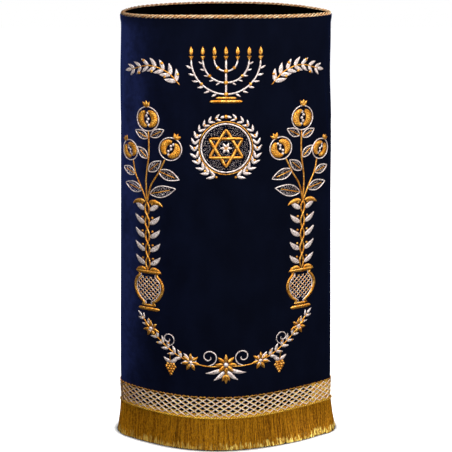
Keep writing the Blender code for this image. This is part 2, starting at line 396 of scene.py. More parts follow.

# %% [markdown]
# ### Velvet
#
# Velvet is dark where we look into its pile and pale where we see the pile from the side. The sheen
# of the Principled shader does that for the front and the right. On the left the photograph has a
# strong blue glow that no lamp gave, so it is painted into the colour as a painted sheen: it grows
# with the turn away from us, from a Layer Weight node, is darkened under the rim cord as painted
# shade, and is broken up by patches of leaning pile, the nap, and by small marks. A fine grain gives
# the pile itself.

# %% Velvet finish
# A cloud is marks in a metre, detail, and stretch upwards. Then come the range that counts and what
# it becomes.
NAP = (26.0, 4.0, 0.55)
NAP_LEAN = (0.35, 0.68)
MOTTLE = (120.0, 3.0, 1.0, 0.35, 0.65, 0.78, 1.22)
PILE = (1400.0, 1.0)
PILE_SHARE = (0.3, 0.7, 0.0, 0.5)
PAINTED_SHEEN_SIDE = (0.0, -0.15)  # across, in metres: the painted sheen is strongest on the left side
# How the painted sheen of the left side grows with the turn away from us.
GLOW_BEGINS = (0.1, 0.6, 0.15, 0.0)  # two heights, and how far the cloth has turned away at each
GLOW_SOFT = 0.3  # how much farther it has turned where the glow's soft beginning ends
GLOW_FULL = 0.65  # and where the glow is full
GLOW_POWER = 0.7
GLOW_LEAST = 0.05  # what the whole left side has of it
GLOW_NAP = (0.34, 0.62, 0.7, 1.25)
SHADE_UNDER_ROPE = (0.712, 0.730, 1.0, 0.3)  # painted shade: the painted sheen fades under the rim cord between these heights
UPRIGHT_PILE = (0.0010, 0.0016, 0.0050)
LEANING_PILE = (0.0016, 0.0026, 0.0082)
# the colour of the painted sheen
PAINTED_SHEEN_BLUE = (0.0136, 0.0212, 0.090)
PILE_TIPS = (0.0012, 0.0016, 0.0046)
SHEEN_TINT = (0.042, 0.092, 0.46, 1.0)
NAP_HEIGHT = 2.2  # of the nap against the pile
PILE_RELIEF = (0.00025, 0.8)  # metres, strength

velvet = Finish(
    "blue_velvet",
    Roughness=0.9,
    Specular_IOR_Level=0.02,
    Sheen_Weight=0.42,
    Sheen_Roughness=0.31,
    Sheen_Tint=SHEEN_TINT,
)
nap = velvet.cloud(*NAP)
pile = velvet.cloud(*PILE)
turned = velvet.add("LayerWeight", {"Blend": 0.5}, "Facing")
begins = velvet.position(2, *GLOW_BEGINS)
soft_end = velvet.reckon("ADD", begins, GLOW_SOFT)
# Painted sheen on the left side, broken up by the nap and by small marks.
glow = velvet.reckon(
    "MULTIPLY",
    velvet.reckon("POWER", velvet.remap(turned, begins, GLOW_FULL), GLOW_POWER),
    velvet.remap(turned, begins, soft_end, way="SMOOTHSTEP"),
)
glow = velvet.reckon(
    "MULTIPLY",
    velvet.reckon("ADD", glow, GLOW_LEAST),
    velvet.position(0, *PAINTED_SHEEN_SIDE),
    velvet.remap(nap, *GLOW_NAP),
    velvet.position(2, *SHADE_UNDER_ROPE),
    velvet.cloud(*MOTTLE),
)
cloth = velvet.blend(velvet.remap(nap, *NAP_LEAN), UPRIGHT_PILE, LEANING_PILE)
# The painted sheen goes into the base colour.
cloth = velvet.blend(glow, cloth, PAINTED_SHEEN_BLUE)
velvet.feed("Base Color", velvet.blend(velvet.remap(pile, *PILE_SHARE), cloth, PILE_TIPS))
height = velvet.reckon("ADD", velvet.reckon("MULTIPLY", nap, NAP_HEIGHT), pile)
velvet.relief(height, *PILE_RELIEF)

# %% [markdown]
# ### Black lining
#
# The lining is plain black cloth. In the photograph it is so dark that no gloss shows, so it is rough
# and without gloss. Soft folds change its black a little, and a fine grain stands for the weave.

# %% Lining finish
FOLDS = (30.0, 3.0, 0.2)
WEAVE_GRAIN = (2400.0, 0.0, 0.1)
DEEP_BLACK = (0.0002, 0.0002, 0.0003)
WORN_BLACK = (0.0006, 0.0006, 0.0008)

lining = Finish("lining_satin", Roughness=0.6, Specular_IOR_Level=0.0)
lining.feed("Base Color", lining.blend(lining.cloud(*FOLDS), DEEP_BLACK, WORN_BLACK))
lining.relief(lining.cloud(*WEAVE_GRAIN), 0.0001, 0.5)

# %% [markdown]
# ### Metal thread
#
# Gold and silver thread is a thin metal strip wound round a core, and embroidery lays many such
# threads side by side. Each thread is round on top with a sharp valley to the next, which is the
# shape of |sin|. Its argument is the distance along the piece over the thread's width, plus some
# turns round it: no turns give satin stitches that lie across a leaf, and a few give a twisted cord.
# The valleys, the edges of satin, the left side and the back of the cover get painted shade, and
# single threads get painted glints.

# %% Metal thread finish
Metal = namedtuple("Metal", "shade body glint")
GOLD = Metal((0.15, 0.030, 0.001), (0.72, 0.265, 0.014), (1.00, 0.66, 0.17))
FILLED_GOLD = Metal((0.17, 0.036, 0.001), (0.78, 0.30, 0.014), (1.00, 0.64, 0.13))
SILVER = Metal((0.14, 0.075, 0.065), (0.76, 0.64, 0.61), (1.00, 0.96, 0.94))
COPPER_GOLD = Metal((0.07, 0.018, 0.001), (0.46, 0.16, 0.012), (0.95, 0.50, 0.08))
BRAID_SILVER = Metal((0.17, 0.060, 0.015), (0.94, 0.84, 0.77), (1.00, 0.98, 0.96))
ROPE_GOLD = Metal((0.07, 0.012, 0.001), (1.00, 0.44, 0.11), (1.00, 1.00, 0.72))
BRAID_GOLD = Metal((0.08, 0.018, 0.001), (0.76, 0.34, 0.016), (1.00, 0.78, 0.14))
HEADING_GOLD = Metal((0.14, 0.045, 0.001), (1.00, 0.52, 0.010), (1.00, 0.84, 0.10))
SATIN = (0.00042, 0)  # width of a thread and its turns
TWISTED = (0.0009, 2)
# Painted shade across a ring: its middle, two distances from it, and the share of body left at each.
SATIN_EDGE_SHADE = (0.41, 0.24, 0.40, 1.0, 0.25)  # painted shade where satin goes down into the cloth at its edges
ROUND_EDGE_SHADE = (0.25, 0.15, 0.26, 1.0, 0.25)  # the same for a thread that is round
PLY_VALLEY_SHADE = (0.50, 0.20, 0.34, 0.0, 1.0)  # painted shade where the plies of a laid cord meet
SHADED_LEFT_SIDE = (-0.178, -0.105)  # across, in metres: painted shade makes the sewn-on trimmings darker on the left
SHADED_BACK = (0.0, 0.05, 1.0, 0.55)  # and painted shade towards the back, with the share left at each distance
PATCHES = (170.0, 3.0, 1.0, 0.38, 0.62)
GRAIN = (640.0, 1.0)
GRAIN_DEPTH = (0.38, 0.52, 0.35)
THREAD_VALLEY_SHADE = (0.0, 0.55, 0.35)
BUNDLE_VALLEY_SHADE = (0.0, 0.7)
GRAIN_ROUGHNESS = (0.3, 0.7)
ROUGHNESS_CHANGE = (-0.06, 0.08)
RELIEF_SHARE = 0.25  # height of a row against its width
RELIEF_STRENGTH = 0.7


def thread_rows(finish, width, turns):
    """|sin(pi * (along / width + turns * share))|: the round backs of threads laid side by side."""
    along = finish.reckon("MULTIPLY", finish.mark(0), math.pi / width)
    round_it = finish.reckon("MULTIPLY", finish.mark(1), math.pi * turns)
    return finish.reckon("ABSOLUTE", finish.reckon("SINE", finish.reckon("ADD", along, round_it)))


def thread_finish(name, metal, rows, roughness, metallic, ring_shade=None, left_shade=None, gloss=0.5,
                  glitter=(0.50, 0.62, 0.25, 0.1), bundles=None):
    """Metal thread: painted shade in the valleys and at the edges, body on the backs, and painted
    glints on single threads. `left_shade` is what painted shade leaves of the body on the left side of
    the cover. Glitter is the grain where the painted glints begin and are full, the least of them, and
    what is left of them in a dull patch. Bundles of threads have their own width, turns, and share of
    body left in the painted shade between two of them."""
    finish = Finish(name, Metallic=metallic, Specular_IOR_Level=gloss)
    relief = thread_rows(finish, *rows)
    grain = finish.cloud(*GRAIN)
    patches = finish.cloud(*PATCHES, glitter[3])
    glints = finish.reckon("MULTIPLY", finish.remap(grain, *glitter[:3]), patches)
    # Darker grain at random, and painted shade in the valleys between threads.
    shade_factors = [finish.remap(grain, *GRAIN_DEPTH), finish.remap(relief, *THREAD_VALLEY_SHADE)]
    # Painted shade between bundles of threads.
    if bundles:
        bundle_rows = thread_rows(finish, *bundles[:2])
        shade_factors.append(finish.remap(bundle_rows, *BUNDLE_VALLEY_SHADE, bundles[2]))
        raised = finish.reckon("MULTIPLY", bundle_rows, bundles[0] / rows[0])
        relief = finish.reckon("ADD", relief, raised)
    # Painted shade at the edges of a ring or in the valleys of a cord.
    if ring_shade:
        off = finish.reckon("ABSOLUTE", finish.reckon("SUBTRACT", finish.mark(1), ring_shade[0]))
        shade_factors.append(finish.remap(off, *ring_shade[1:]))
    # Painted shade on the left side of the cover and towards its back.
    if left_shade:
        shade_factors += [finish.position(0, *SHADED_LEFT_SIDE, left_shade), finish.position(1, *SHADED_BACK)]
    lit_share = finish.reckon("MULTIPLY", *shade_factors)
    # The base colour goes from the metal's shade to its body, and to painted glints.
    body = finish.blend(glints, metal.body, metal.glint)
    finish.feed("Base Color", finish.blend(lit_share, metal.shade, body))
    rough = (roughness + change for change in ROUGHNESS_CHANGE)
    finish.feed("Roughness", finish.remap(grain, *GRAIN_ROUGHNESS, *rough))
    finish.relief(relief, rows[0] * RELIEF_SHARE, RELIEF_STRENGTH)
    return finish

# %% Gold and silver threads
gold_satin = thread_finish("gold_satin", GOLD, SATIN, 0.36, 0.8, SATIN_EDGE_SHADE)
gold_filled = thread_finish(
    "gold_filled", FILLED_GOLD, SATIN, 0.42, 0.65, SATIN_EDGE_SHADE, gloss=0.3, bundles=(0.0033, 3, 0.30)
)
silver_satin = thread_finish("silver_satin", SILVER, SATIN, 0.42, 0.55, SATIN_EDGE_SHADE)
silver_knotted = thread_finish("silver_knotted", BRAID_SILVER, SATIN, 0.36, 0.3, SATIN_EDGE_SHADE, 0.35)
silver_couched = thread_finish("silver_couched", BRAID_SILVER, (0.00085, 2), 0.36, 0.3, ROUND_EDGE_SHADE, 0.32)
rope_gold = thread_finish(
    "rope_gold", ROPE_GOLD, (0.0045, 4), 0.28, 0.14, PLY_VALLEY_SHADE, 0.3, 0.46, (0.49, 0.55, 0.0, 0.4)
)
braid_gold = thread_finish("braid_gold", BRAID_GOLD, TWISTED, 0.34, 0.45, None, 0.42)
heading_gold = thread_finish("heading_gold", HEADING_GOLD, TWISTED, 0.34, 0.3, PLY_VALLEY_SHADE, 0.5)
tape_gold = thread_finish("tape_gold", BRAID_GOLD, (0.0030, 0), 0.40, 0.5)
copper_gold = thread_finish("copper_gold", COPPER_GOLD, TWISTED, 0.40, 0.6)

# %% [markdown]
# ## The velvet panels
#
# The cover has a front and a back half, sewn together at the sides, each a thin sheet. A sheet could
# be a single layer with a Solidify modifier, but here the ring that is carried from seam to seam
# already has both faces: it runs down the outside, round the hem and up the inside. Next to each
# side seam the cloth dips into the sewing and swells beside it, over the turned seam allowance, and
# at the top of the seam it flares out a little under the rope.

# %% Velvet panels
VELVET = 0.0016
PANEL_COLUMNS = 128
PANEL_ROWS = 116
TUCK = 0.0012  # the cord sits over the edge of the cloth by this much
SEAM_RADIUS = 0.055  # of the wall near a side seam, for distances from the seam
SEAM_HILLS = ((-0.0007, 0.0, 0.0016), (0.0005, 0.0075, 0.0040))  # height, distance from it, width
SEAM_EAR = 0.0018  # how far the cloth stands out under the rope at a side seam
SEAM_EAR_FOOT = WALL_TOP - 0.014
SEAM_POWER = 12


def at_seams(bearing):
    """1 at the side seams, and soon 0 away from them."""
    return np.abs(np.cos(bearing)) ** SEAM_POWER


def wall(bearings, heights, outer, inner):
    """Rings of a wall: down the outer face, then up the inner one."""
    outside = place(bearings[:, None], heights[::-1], outer)
    return np.concatenate([outside, place(bearings[:, None], heights, inner)], axis=1)


def add_panel(name, first_bearing, towards_back):
    """Half of the wall, in even columns. The dip and the swell beside a seam are bell-shaped."""
    bearings = first_bearing + np.linspace(0, math.pi, PANEL_COLUMNS + 1)
    heights = np.linspace(0, WALL_TOP + TUCK, PANEL_ROWS + 1)
    from_seam = SEAM_RADIUS * np.minimum(bearings % math.pi, math.pi - bearings % math.pi)
    stand = SEAM_EAR * at_seams(bearings[:, None]) * smooth_step(SEAM_EAR_FOOT, WALL_TOP, heights)
    for size, distance, width in SEAM_HILLS:
        stand = stand + size * np.exp(-(((from_seam - distance) / width) ** 2))[:, None]
    sections = wall(bearings, heights, stand[:, ::-1], stand - VELVET)
    sections[[0, -1], :, 1] += towards_back * GAP / 2
    along = bearings[None] * MEAN_RADIUS
    return add_piece(name, [skin(sections[None], along, thin=True)], velvet)


velvet_back = add_panel("velvet_back", 0.0, 1.0)
velvet_front = add_panel("velvet_front", math.pi, -1.0)
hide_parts("back_panel")
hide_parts("front_panel")

# %% [markdown]
# ## The lining
#
# The lining hangs free inside, a little away from the velvet. It is one closed loop, so its ring is
# carried right round. Being thinner and looser than the velvet it ripples a little more: its
# distance from the velvet is a sum of cosines, less towards its top.

# %% Lining
LINING = 0.0009
LINING_OUT = -0.0031
LINING_FOOT = 0.015
LINING_TOP = WALL_TOP + 0.0036  # it covers the rope's lower half on the inside
LINING_TURN_IN = 0.0016  # and stands clear of the rope there
LINING_TURN_FOOT = WALL_TOP - 0.015
LINING_LOOSE_TOP = 0.60
LINING_COLUMNS = 192
LINING_ROWS = 32
LINING_RIPPLES = ((23, 0.30), (31, 0.22), (47, 0.12))  # waves round the cover, millimetres

even_turns = np.linspace(0, FULL_TURN, LINING_COLUMNS + 1)  # the fringe's tape uses them too
bearings = even_turns[:-1]
heights = np.linspace(LINING_FOOT, LINING_TOP, LINING_ROWS + 1)
waves = sum(size * MM * np.cos(count * bearings + 2 * count) for count, size in LINING_RIPPLES)
stand = LINING_OUT + waves[:, None] * (1 - smooth_step(LINING_LOOSE_TOP, LINING_TOP, heights))
stand = stand - LINING_TURN_IN * smooth_step(LINING_TURN_FOOT, WALL_TOP, heights)
sections = wall(bearings, heights, stand[:, ::-1], stand - LINING)[None]
loop = skin(sections, even_turns[None] * MEAN_RADIUS, closed=True)
lining_cloth = add_piece("lining_cloth", [loop], lining)
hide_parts("lining")

# %% [markdown]
# ## Twisted cords
#
# The rim cord is three plies of gold thread twisted together, and a thinner cord of two plies runs
# along the fringe's heading. A screw modifier could twist a ring of circles, but it can't follow the
# rim. So each ply is a tube whose centre circles round the cord's centre as it goes.

# %% Twisted cord formula
Laid = namedtuple("Laid", "height out tuck radius plies turns rings_per_turn sides")
LOOP_STEPS = 2880


def distances(points):
    """Distance along each row of points."""
    steps = np.linalg.norm(np.diff(points, axis=-2), axis=-1)
    return np.concatenate([np.zeros_like(steps[..., :1]), np.cumsum(steps, axis=-1)], axis=-1)


def even_bearings(height, out, count):
    """Bearings of points that are evenly spaced round the cover, and the length of the loop."""
    fine = np.linspace(0, FULL_TURN, LOOP_STEPS + 1)
    along = distances(place(fine, height, out))
    return np.interp(np.linspace(0, along[-1], count, endpoint=False), along, fine), along[-1]


def laid_cord(cord):
    """Plies round a centre line: the centre of each ply circles the line once a turn, and its own
    ring is a circle that just touches its neighbours. A ring starts where the ply is farthest from
    the centre line, so the share round it tells the back of a ply from the valley beside it. The
    cord is tucked in a little at the side seams."""
    rings = cord.turns * cord.rings_per_turn
    bearings, length = even_bearings(cord.height, cord.out, rings)
    ply = cord.radius / (1 + 1 / math.sin(math.pi / cord.plies))
    orbit = cord.radius - ply
    number = np.arange(cord.plies)[:, None, None]
    turn = number / cord.plies - np.arange(rings)[:, None] / cord.rings_per_turn
    spin = turn * FULL_TURN
    corner = spin + np.arange(cord.sides) * FULL_TURN / cord.sides
    up = orbit * np.cos(spin) + ply * np.cos(corner)
    out = orbit * np.sin(spin) + ply * np.sin(corner)
    middle = cord.out - cord.tuck * at_seams(bearings)
    sections = place(bearings[:, None], cord.height + up, middle[:, None] + out)
    along = np.tile(np.linspace(0, length, rings + 1), (cord.plies, 1))
    print(f"cord of {cord.plies} plies, {length / MM:.0f} mm long")
    return skin(sections, along, closed=True)

# %% Rim cord
RIM_ROPE = Laid(WALL_TOP + GAP + CORD_RADIUS, -0.0011, 0.0012, 0.00305, 3, 34, 22, 14)
rim_rope = add_piece("rim_rope", [laid_cord(RIM_ROPE)], rope_gold)
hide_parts("rim_cord")

# %% [markdown]
# ## Stitches and strands
#
# A strand of the braid, a leaf of the embroidery and a pearl of gold thread are one thing: a line on
# the cloth that carries a small ring, wide or narrow, high or low. The line is drawn flat, in
# distance across and height, as an embroiderer draws on cloth, and a mapping then lays every point
# of the rings on the cover. So the stitches follow its folds.

# %% Stroke formula
Stroke = namedtuple("Stroke", "spine half rise base")
Profile = namedtuple("Profile", "across lift")
SIXTHS = np.arange(6) * FULL_TURN / 6
ROUND = Profile(np.cos(SIXTHS), np.sin(SIXTHS))
SEED = Profile((1.0, 0.0, -1.0), (0.0, 1.0, 0.0))
DOME = Profile((1.0, 0.74, 0.0, -0.74, -1.0), (0.0, 0.72, 1.0, 0.72, 0.0))
VEINED = Profile((1.0, 0.82, 0.42, 0.0, -0.42, -0.82, -1.0), (0.0, 0.62, 0.98, 0.5, 0.98, 0.62, 0.0))


def pair(x, y):
    """Positions or directions from their two parts."""
    return np.stack([x, y], axis=-1)


def left_of(heading):
    """A quarter turn to the left."""
    return pair(-heading[..., 1], heading[..., 0])


def stroke(spine, half, rise, base):
    """A stroke, its plain numbers spread over its rings."""
    sizes = (np.broadcast_to(np.asarray(size, float), len(spine)) for size in (half, rise, base))
    return Stroke(spine, *sizes)


def stroke_skins(strokes, profile, mapping):
    """Lay strokes on the cover. Each ring stands across its spine: its points are the spine, plus
    the profile's `across` times the half width along the spine's left normal, at a height of `base`
    plus the profile's `lift` times the rise."""
    across, lift = np.array(profile.across), np.array(profile.lift)
    skins = []
    for rings in sorted({len(one.half) for one in strokes}):
        same = [one for one in strokes if len(one.half) == rings]
        spine, half, rise, base = (np.stack(part) for part in zip(*same))
        heading = np.gradient(spine, axis=1)
        heading /= np.linalg.norm(heading, axis=2, keepdims=True)
        aside = (half[..., None] * across)[..., None] * left_of(heading)[:, :, None]
        flat = spine[:, :, None] + aside
        out = base[..., None] + rise[..., None] * lift
        skins.append(skin(mapping(flat[..., 0], flat[..., 1], out), distances(spine)))
    return skins

# %% Strokes from lines
END_ROUNDING = (0.30, 0.78)  # half width of the first two rings of a cord, as a share
KNOT_REACH = 0.96  # of its radius, where a dome ends


def path_through(points, rings):
    """Evenly spaced points on a smooth curve through a few given ones."""
    points = np.asarray(points, float)
    knots = distances(points)
    at = np.linspace(0, knots[-1], rings)
    return pair(*(through(at, knots, part) for part in points.T))


def cord_stroke(spine, half, rise, base):
    """A line of even width with rounded ends."""
    ends = np.ones(len(spine))
    for k, share in enumerate(END_ROUNDING):
        ends[[k, -k - 1]] = share
    return stroke(spine, half * ends, rise * ends**0.5, base)


def arc_stroke(centre, half_span, sag, half, rise, base, rings):
    """A loop between two points at one height: a parabola that sags, or rises if sag is negative."""
    t = np.linspace(-1, 1, rings)
    spine = pair(centre[0] + half_span * t, centre[1] - sag * (1 - t * t))
    return cord_stroke(spine, half, rise, base)


def knot_stroke(centre, radius, rise, base, rings=6):
    """A round dome: its half width and its rise follow a half circle."""
    t = np.linspace(-KNOT_REACH, KNOT_REACH, rings)
    bulge = np.sqrt(1 - t * t)
    spine = np.array(centre) + radius * t[:, None] * (0.0, 1.0)
    return stroke(spine, radius * bulge, rise * bulge, base)

# %% [markdown]
# ## The lattice braid
#
# The braid is a woven net. Lines of silver thread run up to the right and up to the left, over and
# under each other, and tie in a bright knot where they cross. A gold thread runs above each silver
# one, so every opening has a gold foot. The velvet shows through the openings. A texture could fake
# the net, but it would look flat from the side, where the photograph shows one thread on another.

# %% Round the cover
BRAID_FOOT = 0.0598
BRAID_TOP = 0.0955
LOOP_BEARINGS, LOOP_LENGTH = even_bearings((BRAID_FOOT + BRAID_TOP) / 2, 0.0, LOOP_STEPS)
LOOP_BEARINGS = np.append(LOOP_BEARINGS, FULL_TURN)
LOOP_KNOTS = np.linspace(0, LOOP_LENGTH, LOOP_STEPS + 1)


def round_cover(distance, height, out):
    """Mapping for pieces that go right round: distance is measured from the right seam."""
    return place(np.interp(distance % LOOP_LENGTH, LOOP_KNOTS, LOOP_BEARINGS), height, out)


print(f"the braid is {LOOP_LENGTH / MM:.0f} mm long")

# %% Lattice strands
CELLS = 58
CELL = LOOP_LENGTH / CELLS
LATTICE_ROWS = 7
LATTICE_FOOT = 0.0586
LATTICE_STEP = 0.0048
NET_OUT = 0.00140  # the middle of the threads stands this far outside the velvet
WEAVE = 0.00032  # how far a line swings over and under
SILVER_LINE = (0.00074, -0.00050, 4)  # half width, how far it stands above the line, rings per row
GOLD_LINE = (0.00058, 0.00070, 2)
GOLD_UNDER = 0.0002  # the gold thread lies this much lower


def lattice_line(cell, lean, lift, rings_per_row):
    """Half a cell sideways for each row up, moved square to itself by `lift`."""
    row = np.linspace(0, LATTICE_ROWS, LATTICE_ROWS * rings_per_row + 1)
    run = lean * CELL / 2
    length = math.hypot(run, LATTICE_STEP)
    distance = cell * CELL + run * row - lean * lift * LATTICE_STEP / length
    height = LATTICE_FOOT + LATTICE_STEP * row + lift * abs(run) / length
    return pair(distance, height), row


silver_lines, gold_lines = [], []
for cell in range(CELLS):
    for lean in (-1, 1):
        half, lift, rings = SILVER_LINE
        spine, row = lattice_line(cell, lean, lift, rings)
        swing = lean * WEAVE * np.cos(math.pi * row)
        silver_lines.append(cord_stroke(spine, half, half, NET_OUT + swing))
        half, lift, rings = GOLD_LINE
        spine, _ = lattice_line(cell, lean, lift, rings)
        gold_lines.append(cord_stroke(spine, half, half, NET_OUT - GOLD_UNDER))
print(f"{len(silver_lines)} silver and {len(gold_lines)} gold threads, cells {CELL / MM:.1f} mm wide")

# %% Knots, loops and edges of the braid
KNOT_RADIUS = 0.00088
KNOT_RISE = 0.0007
KNOT_DROP = 0.0003
LOOPS = ((0.0028, 0.0027), (0.0053, 0.0036))  # height above the knot, half span
LOOP_SAG = 0.0012
LOOP_HALF = 0.00062
LOOP_OUT = 0.0010
LOOP_SWELL = (2.2, 4.2)  # fuller at the left and right seams, where the net is drawn together
LOOP_SWELL_POWER = 8
DRAWN_TOGETHER = (0.965, 0.935)  # cosine of the turn from each seam within which loops are double
TOP_ARCH = 0.0019
ARCH_HALF = 0.0004
EDGE_LEVEL = 0.0930
EDGE_LOOPS = 2 * CELLS
EDGE_SHARE = 0.84  # of the spacing that a loop spans
EDGE_ARCH = 0.0014
EDGE_SIZE = (0.00082, 0.0009, 0.0012)  # half width, rise and base


def crossings(row):
    """Distances at which the lines of a row cross."""
    return (np.arange(CELLS) + 0.5 * (row % 2)) * CELL


knots, gold_loops, arches, edge_loops = [], [], [], []
for row in range(LATTICE_ROWS + 1):
    level = LATTICE_FOOT + LATTICE_STEP * row
    for distance in crossings(row):
        knots.append(knot_stroke((distance, level - KNOT_DROP), KNOT_RADIUS, KNOT_RISE, NET_OUT))
        side = math.cos(FULL_TURN * distance / LOOP_LENGTH)
        seam = int(side > 0)
        half = LOOP_HALF * (1 + LOOP_SWELL[seam] * side**LOOP_SWELL_POWER)
        loops = LOOPS if abs(side) > DRAWN_TOGETHER[seam] else LOOPS[:1]
        for above, span in loops if row < LATTICE_ROWS else ():
            middle = (distance, level + above)
            gold_loops.append(arc_stroke(middle, span, LOOP_SAG, half, LOOP_HALF, LOOP_OUT, 7))
for distance in crossings(LATTICE_ROWS):
    middle = (distance + CELL / 2, LATTICE_FOOT + LATTICE_STEP * LATTICE_ROWS)
    arches.append(arc_stroke(middle, CELL / 2, -TOP_ARCH, ARCH_HALF, ARCH_HALF, NET_OUT, 9))
spacing = LOOP_LENGTH / EDGE_LOOPS
for number in range(EDGE_LOOPS):
    middle = ((number + 0.5) * spacing, EDGE_LEVEL)
    edge_loops.append(arc_stroke(middle, EDGE_SHARE * spacing / 2, -EDGE_ARCH, *EDGE_SIZE, 9))

# %% Pieces of the braid
def braid_piece(name, strokes, profile, finish):
    """Strokes that go round the cover, as one piece."""
    return add_piece(name, stroke_skins(strokes, profile, round_cover), finish)


gold_threads = gold_lines + gold_loops + arches
silver_lattice = braid_piece("silver_lattice", silver_lines, ROUND, silver_couched)
braid_piece("silver_knots", knots, DOME, silver_knotted)
braid_piece("gold_lattice", gold_threads, ROUND, braid_gold)
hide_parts("lattice_braid")
braid_piece("braid_edge", edge_loops, ROUND, copper_gold)

# %% [markdown]
# ## The fringe
#
# The fringe hangs from a narrow woven heading. Its threads are fine and close together, gather in
# loose locks, stand out towards their cut tips and end level on the floor. Hair curves could do
# this, but they don't keep their thickness in an export, so each thread is a thin four-sided tube.
# All threads are worked out at once, as one array of threads by rings. They are brown gold from the
# heading down, with a painted highlight in bright yellow on the cut tips that fades to the left, and
# each has its own tone.

# %% Fringe finish
TONE_CHANGE = (520.0, 1.0, 0.5, 0.35, 0.65, -0.35, 0.35)  # along a thread
TIP_CHANGE = (210.0, 2.0, 0.2, 0.35, 0.65, -0.10, 0.07)  # where the bright tips begin
TIP_BUNCHES = (340.0, 1.0, 0.1, 0.43, 0.53, 0.05)  # narrow bunches without them
TIP_PATCHES = (16.0, 1.0, 1.0, 0.40, 0.50, 0.35)  # and wide patches with few
TIP_SHARE = (0.82, 0.90)  # of the length
TIP_NUMBERS = (0.1, 0.5, 0.3)  # threads with a low number have duller tips
TIP_HIGHLIGHT_SIDE = (-0.04, 0.01, 0.45)  # across, in metres: the painted highlight on the tips fades to the left
BROWN_THREAD = (0.155, 0.052, 0.0016)
GOLD_THREAD = (0.50, 0.222, 0.0080)
TIP_HIGHLIGHT = (1.0, 0.80, 0.21)
FIBRE_GRAIN = (2600.0, 1.0, 0.15)

fringe_gold = Finish("fringe_gold", Metallic=0.5, Roughness=0.46, Specular_IOR_Level=0.15)
number = fringe_gold.mark(1)
tone = fringe_gold.reckon("ADD", number, fringe_gold.cloud(*TONE_CHANGE))
share = fringe_gold.reckon("ADD", fringe_gold.mark(0), fringe_gold.cloud(*TIP_CHANGE))
# Painted highlight on the cut tips, in patches, fading to the left.
tip = fringe_gold.reckon(
    "MULTIPLY",
    fringe_gold.remap(share, *TIP_SHARE),
    fringe_gold.remap(number, *TIP_NUMBERS),
    fringe_gold.cloud(*TIP_BUNCHES),
    fringe_gold.cloud(*TIP_PATCHES),
    fringe_gold.position(0, *TIP_HIGHLIGHT_SIDE),
)
thread = fringe_gold.blend(tone, BROWN_THREAD, GOLD_THREAD)
fringe_gold.feed("Base Color", fringe_gold.blend(tip, thread, TIP_HIGHLIGHT))
fringe_gold.relief(fringe_gold.cloud(*FIBRE_GRAIN), 0.0001, 0.5)

# %% Fringe threads
FRINGE_TOP = 0.0556
THREADS = 3400
THREAD_RINGS = 7
THREAD_SIDES = 4
THREAD_ROOT = 0.00046  # radius of a thread at its root and at its tip
THREAD_TIP = 0.00054
FRINGE_DEPTH = 0.0021  # roots stand between the velvet and this far outside it
SPREADS = (  # bearing in degrees, and how many millimetres the tips stand out there
    *((0, 11.0), (45, 7.0), (90, 6.0), (135, 7.0), (180, 7.5), (196, 12.0), (212, 10.0)),
    *((240, 8.0), (270, 5.5), (290, 9.5), (312, 16.5), (332, 15.0), (347, 17.5)),
)
INNER_SPREAD = 0.72  # share of it that the innermost threads have
SEAM_LEAN = 0.010  # how far the tips beside the side seams lean towards the front
SEAM_LEAN_POWER = 5  # odd, as the two sides lean opposite ways round the cover
LOCK_WAVES = ((19, 1.9), (31, 1.3), (61, 0.45), (89, 0.3))  # waves round the cover, mm sideways
LOOSE_LEAN = 0.0021  # typical lean, curl and shortness of a single thread
LOOSE_CURL = 0.0005
CURL_TURN = 5.0
SHORT = 0.0005
OUTER_SHORT = 0.6  # share of it that the outermost threads have


def fringe_threads():
    """Each thread leaves its root straight down and bends with share ** 1.5: outwards by its part of
    the spread, and sideways by a sum of sines round the cover, which gathers it into a lock, and by
    its own small random lean. In place of the share round its ring it carries a random number."""
    chance = np.random.default_rng(11)
    root = (np.arange(THREADS) + chance.uniform(-0.5, 0.5, THREADS)) * LOOP_LENGTH / THREADS
    bearing = np.interp(root, LOOP_KNOTS, LOOP_BEARINGS)
    spread = around(bearing, *np.array(SPREADS).T) * MM
    layer = chance.uniform(0, 1, (THREADS, 1))
    locks = sum(size * MM * np.sin(count * bearing + count) for count, size in LOCK_WAVES)
    lean = locks - SEAM_LEAN * np.cos(bearing) ** SEAM_LEAN_POWER
    lean = lean + chance.normal(0, LOOSE_LEAN, THREADS)
    curl = chance.normal(0, LOOSE_CURL, (THREADS, 1))
    short = np.abs(chance.normal(0, SHORT, (THREADS, 1))) * (1 - (1 - OUTER_SHORT) * layer)

    share = np.linspace(0, 1, THREAD_RINGS)
    bend = share**1.5
    distance = root[:, None] + lean[:, None] * bend + curl * np.sin(share * CURL_TURN)
    height = FRINGE_TOP + (short - FRINGE_TOP) * share
    stand = GAP + THREAD_ROOT + layer * (FRINGE_DEPTH - THREAD_ROOT)
    out = stand + spread[:, None] * (INNER_SPREAD + (1 - INNER_SPREAD) * layer) * bend
    radius = THREAD_ROOT + (THREAD_TIP - THREAD_ROOT) * share[:, None] ** 2

    corner = (np.arange(THREAD_SIDES) + 0.5) * FULL_TURN / THREAD_SIDES
    along_cover = distance[..., None] + radius * np.sin(corner)
    away = out[..., None] + radius * np.cos(corner)
    sections = round_cover(along_cover, height[..., None], away)
    tube = skin(sections, np.broadcast_to(share, (THREADS, THREAD_RINGS)))
    number = chance.uniform(0, 1, THREADS)
    for mark, faces_each in zip(tube.marks, ((THREAD_RINGS - 1) * THREAD_SIDES, 1, 1)):
        mark[..., 1] = np.repeat(number, faces_each)[:, None]
    return tube


threads = add_piece("fringe_threads", [fringe_threads()], fringe_gold)
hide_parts("fringe")

# %% [markdown]
# ### Its heading
#
# The heading is a narrow woven tape, seen through the lowest openings of the net. One twisted cord
# on its foot hides the roots of the threads. The tape is a flat ring carried round the cover.

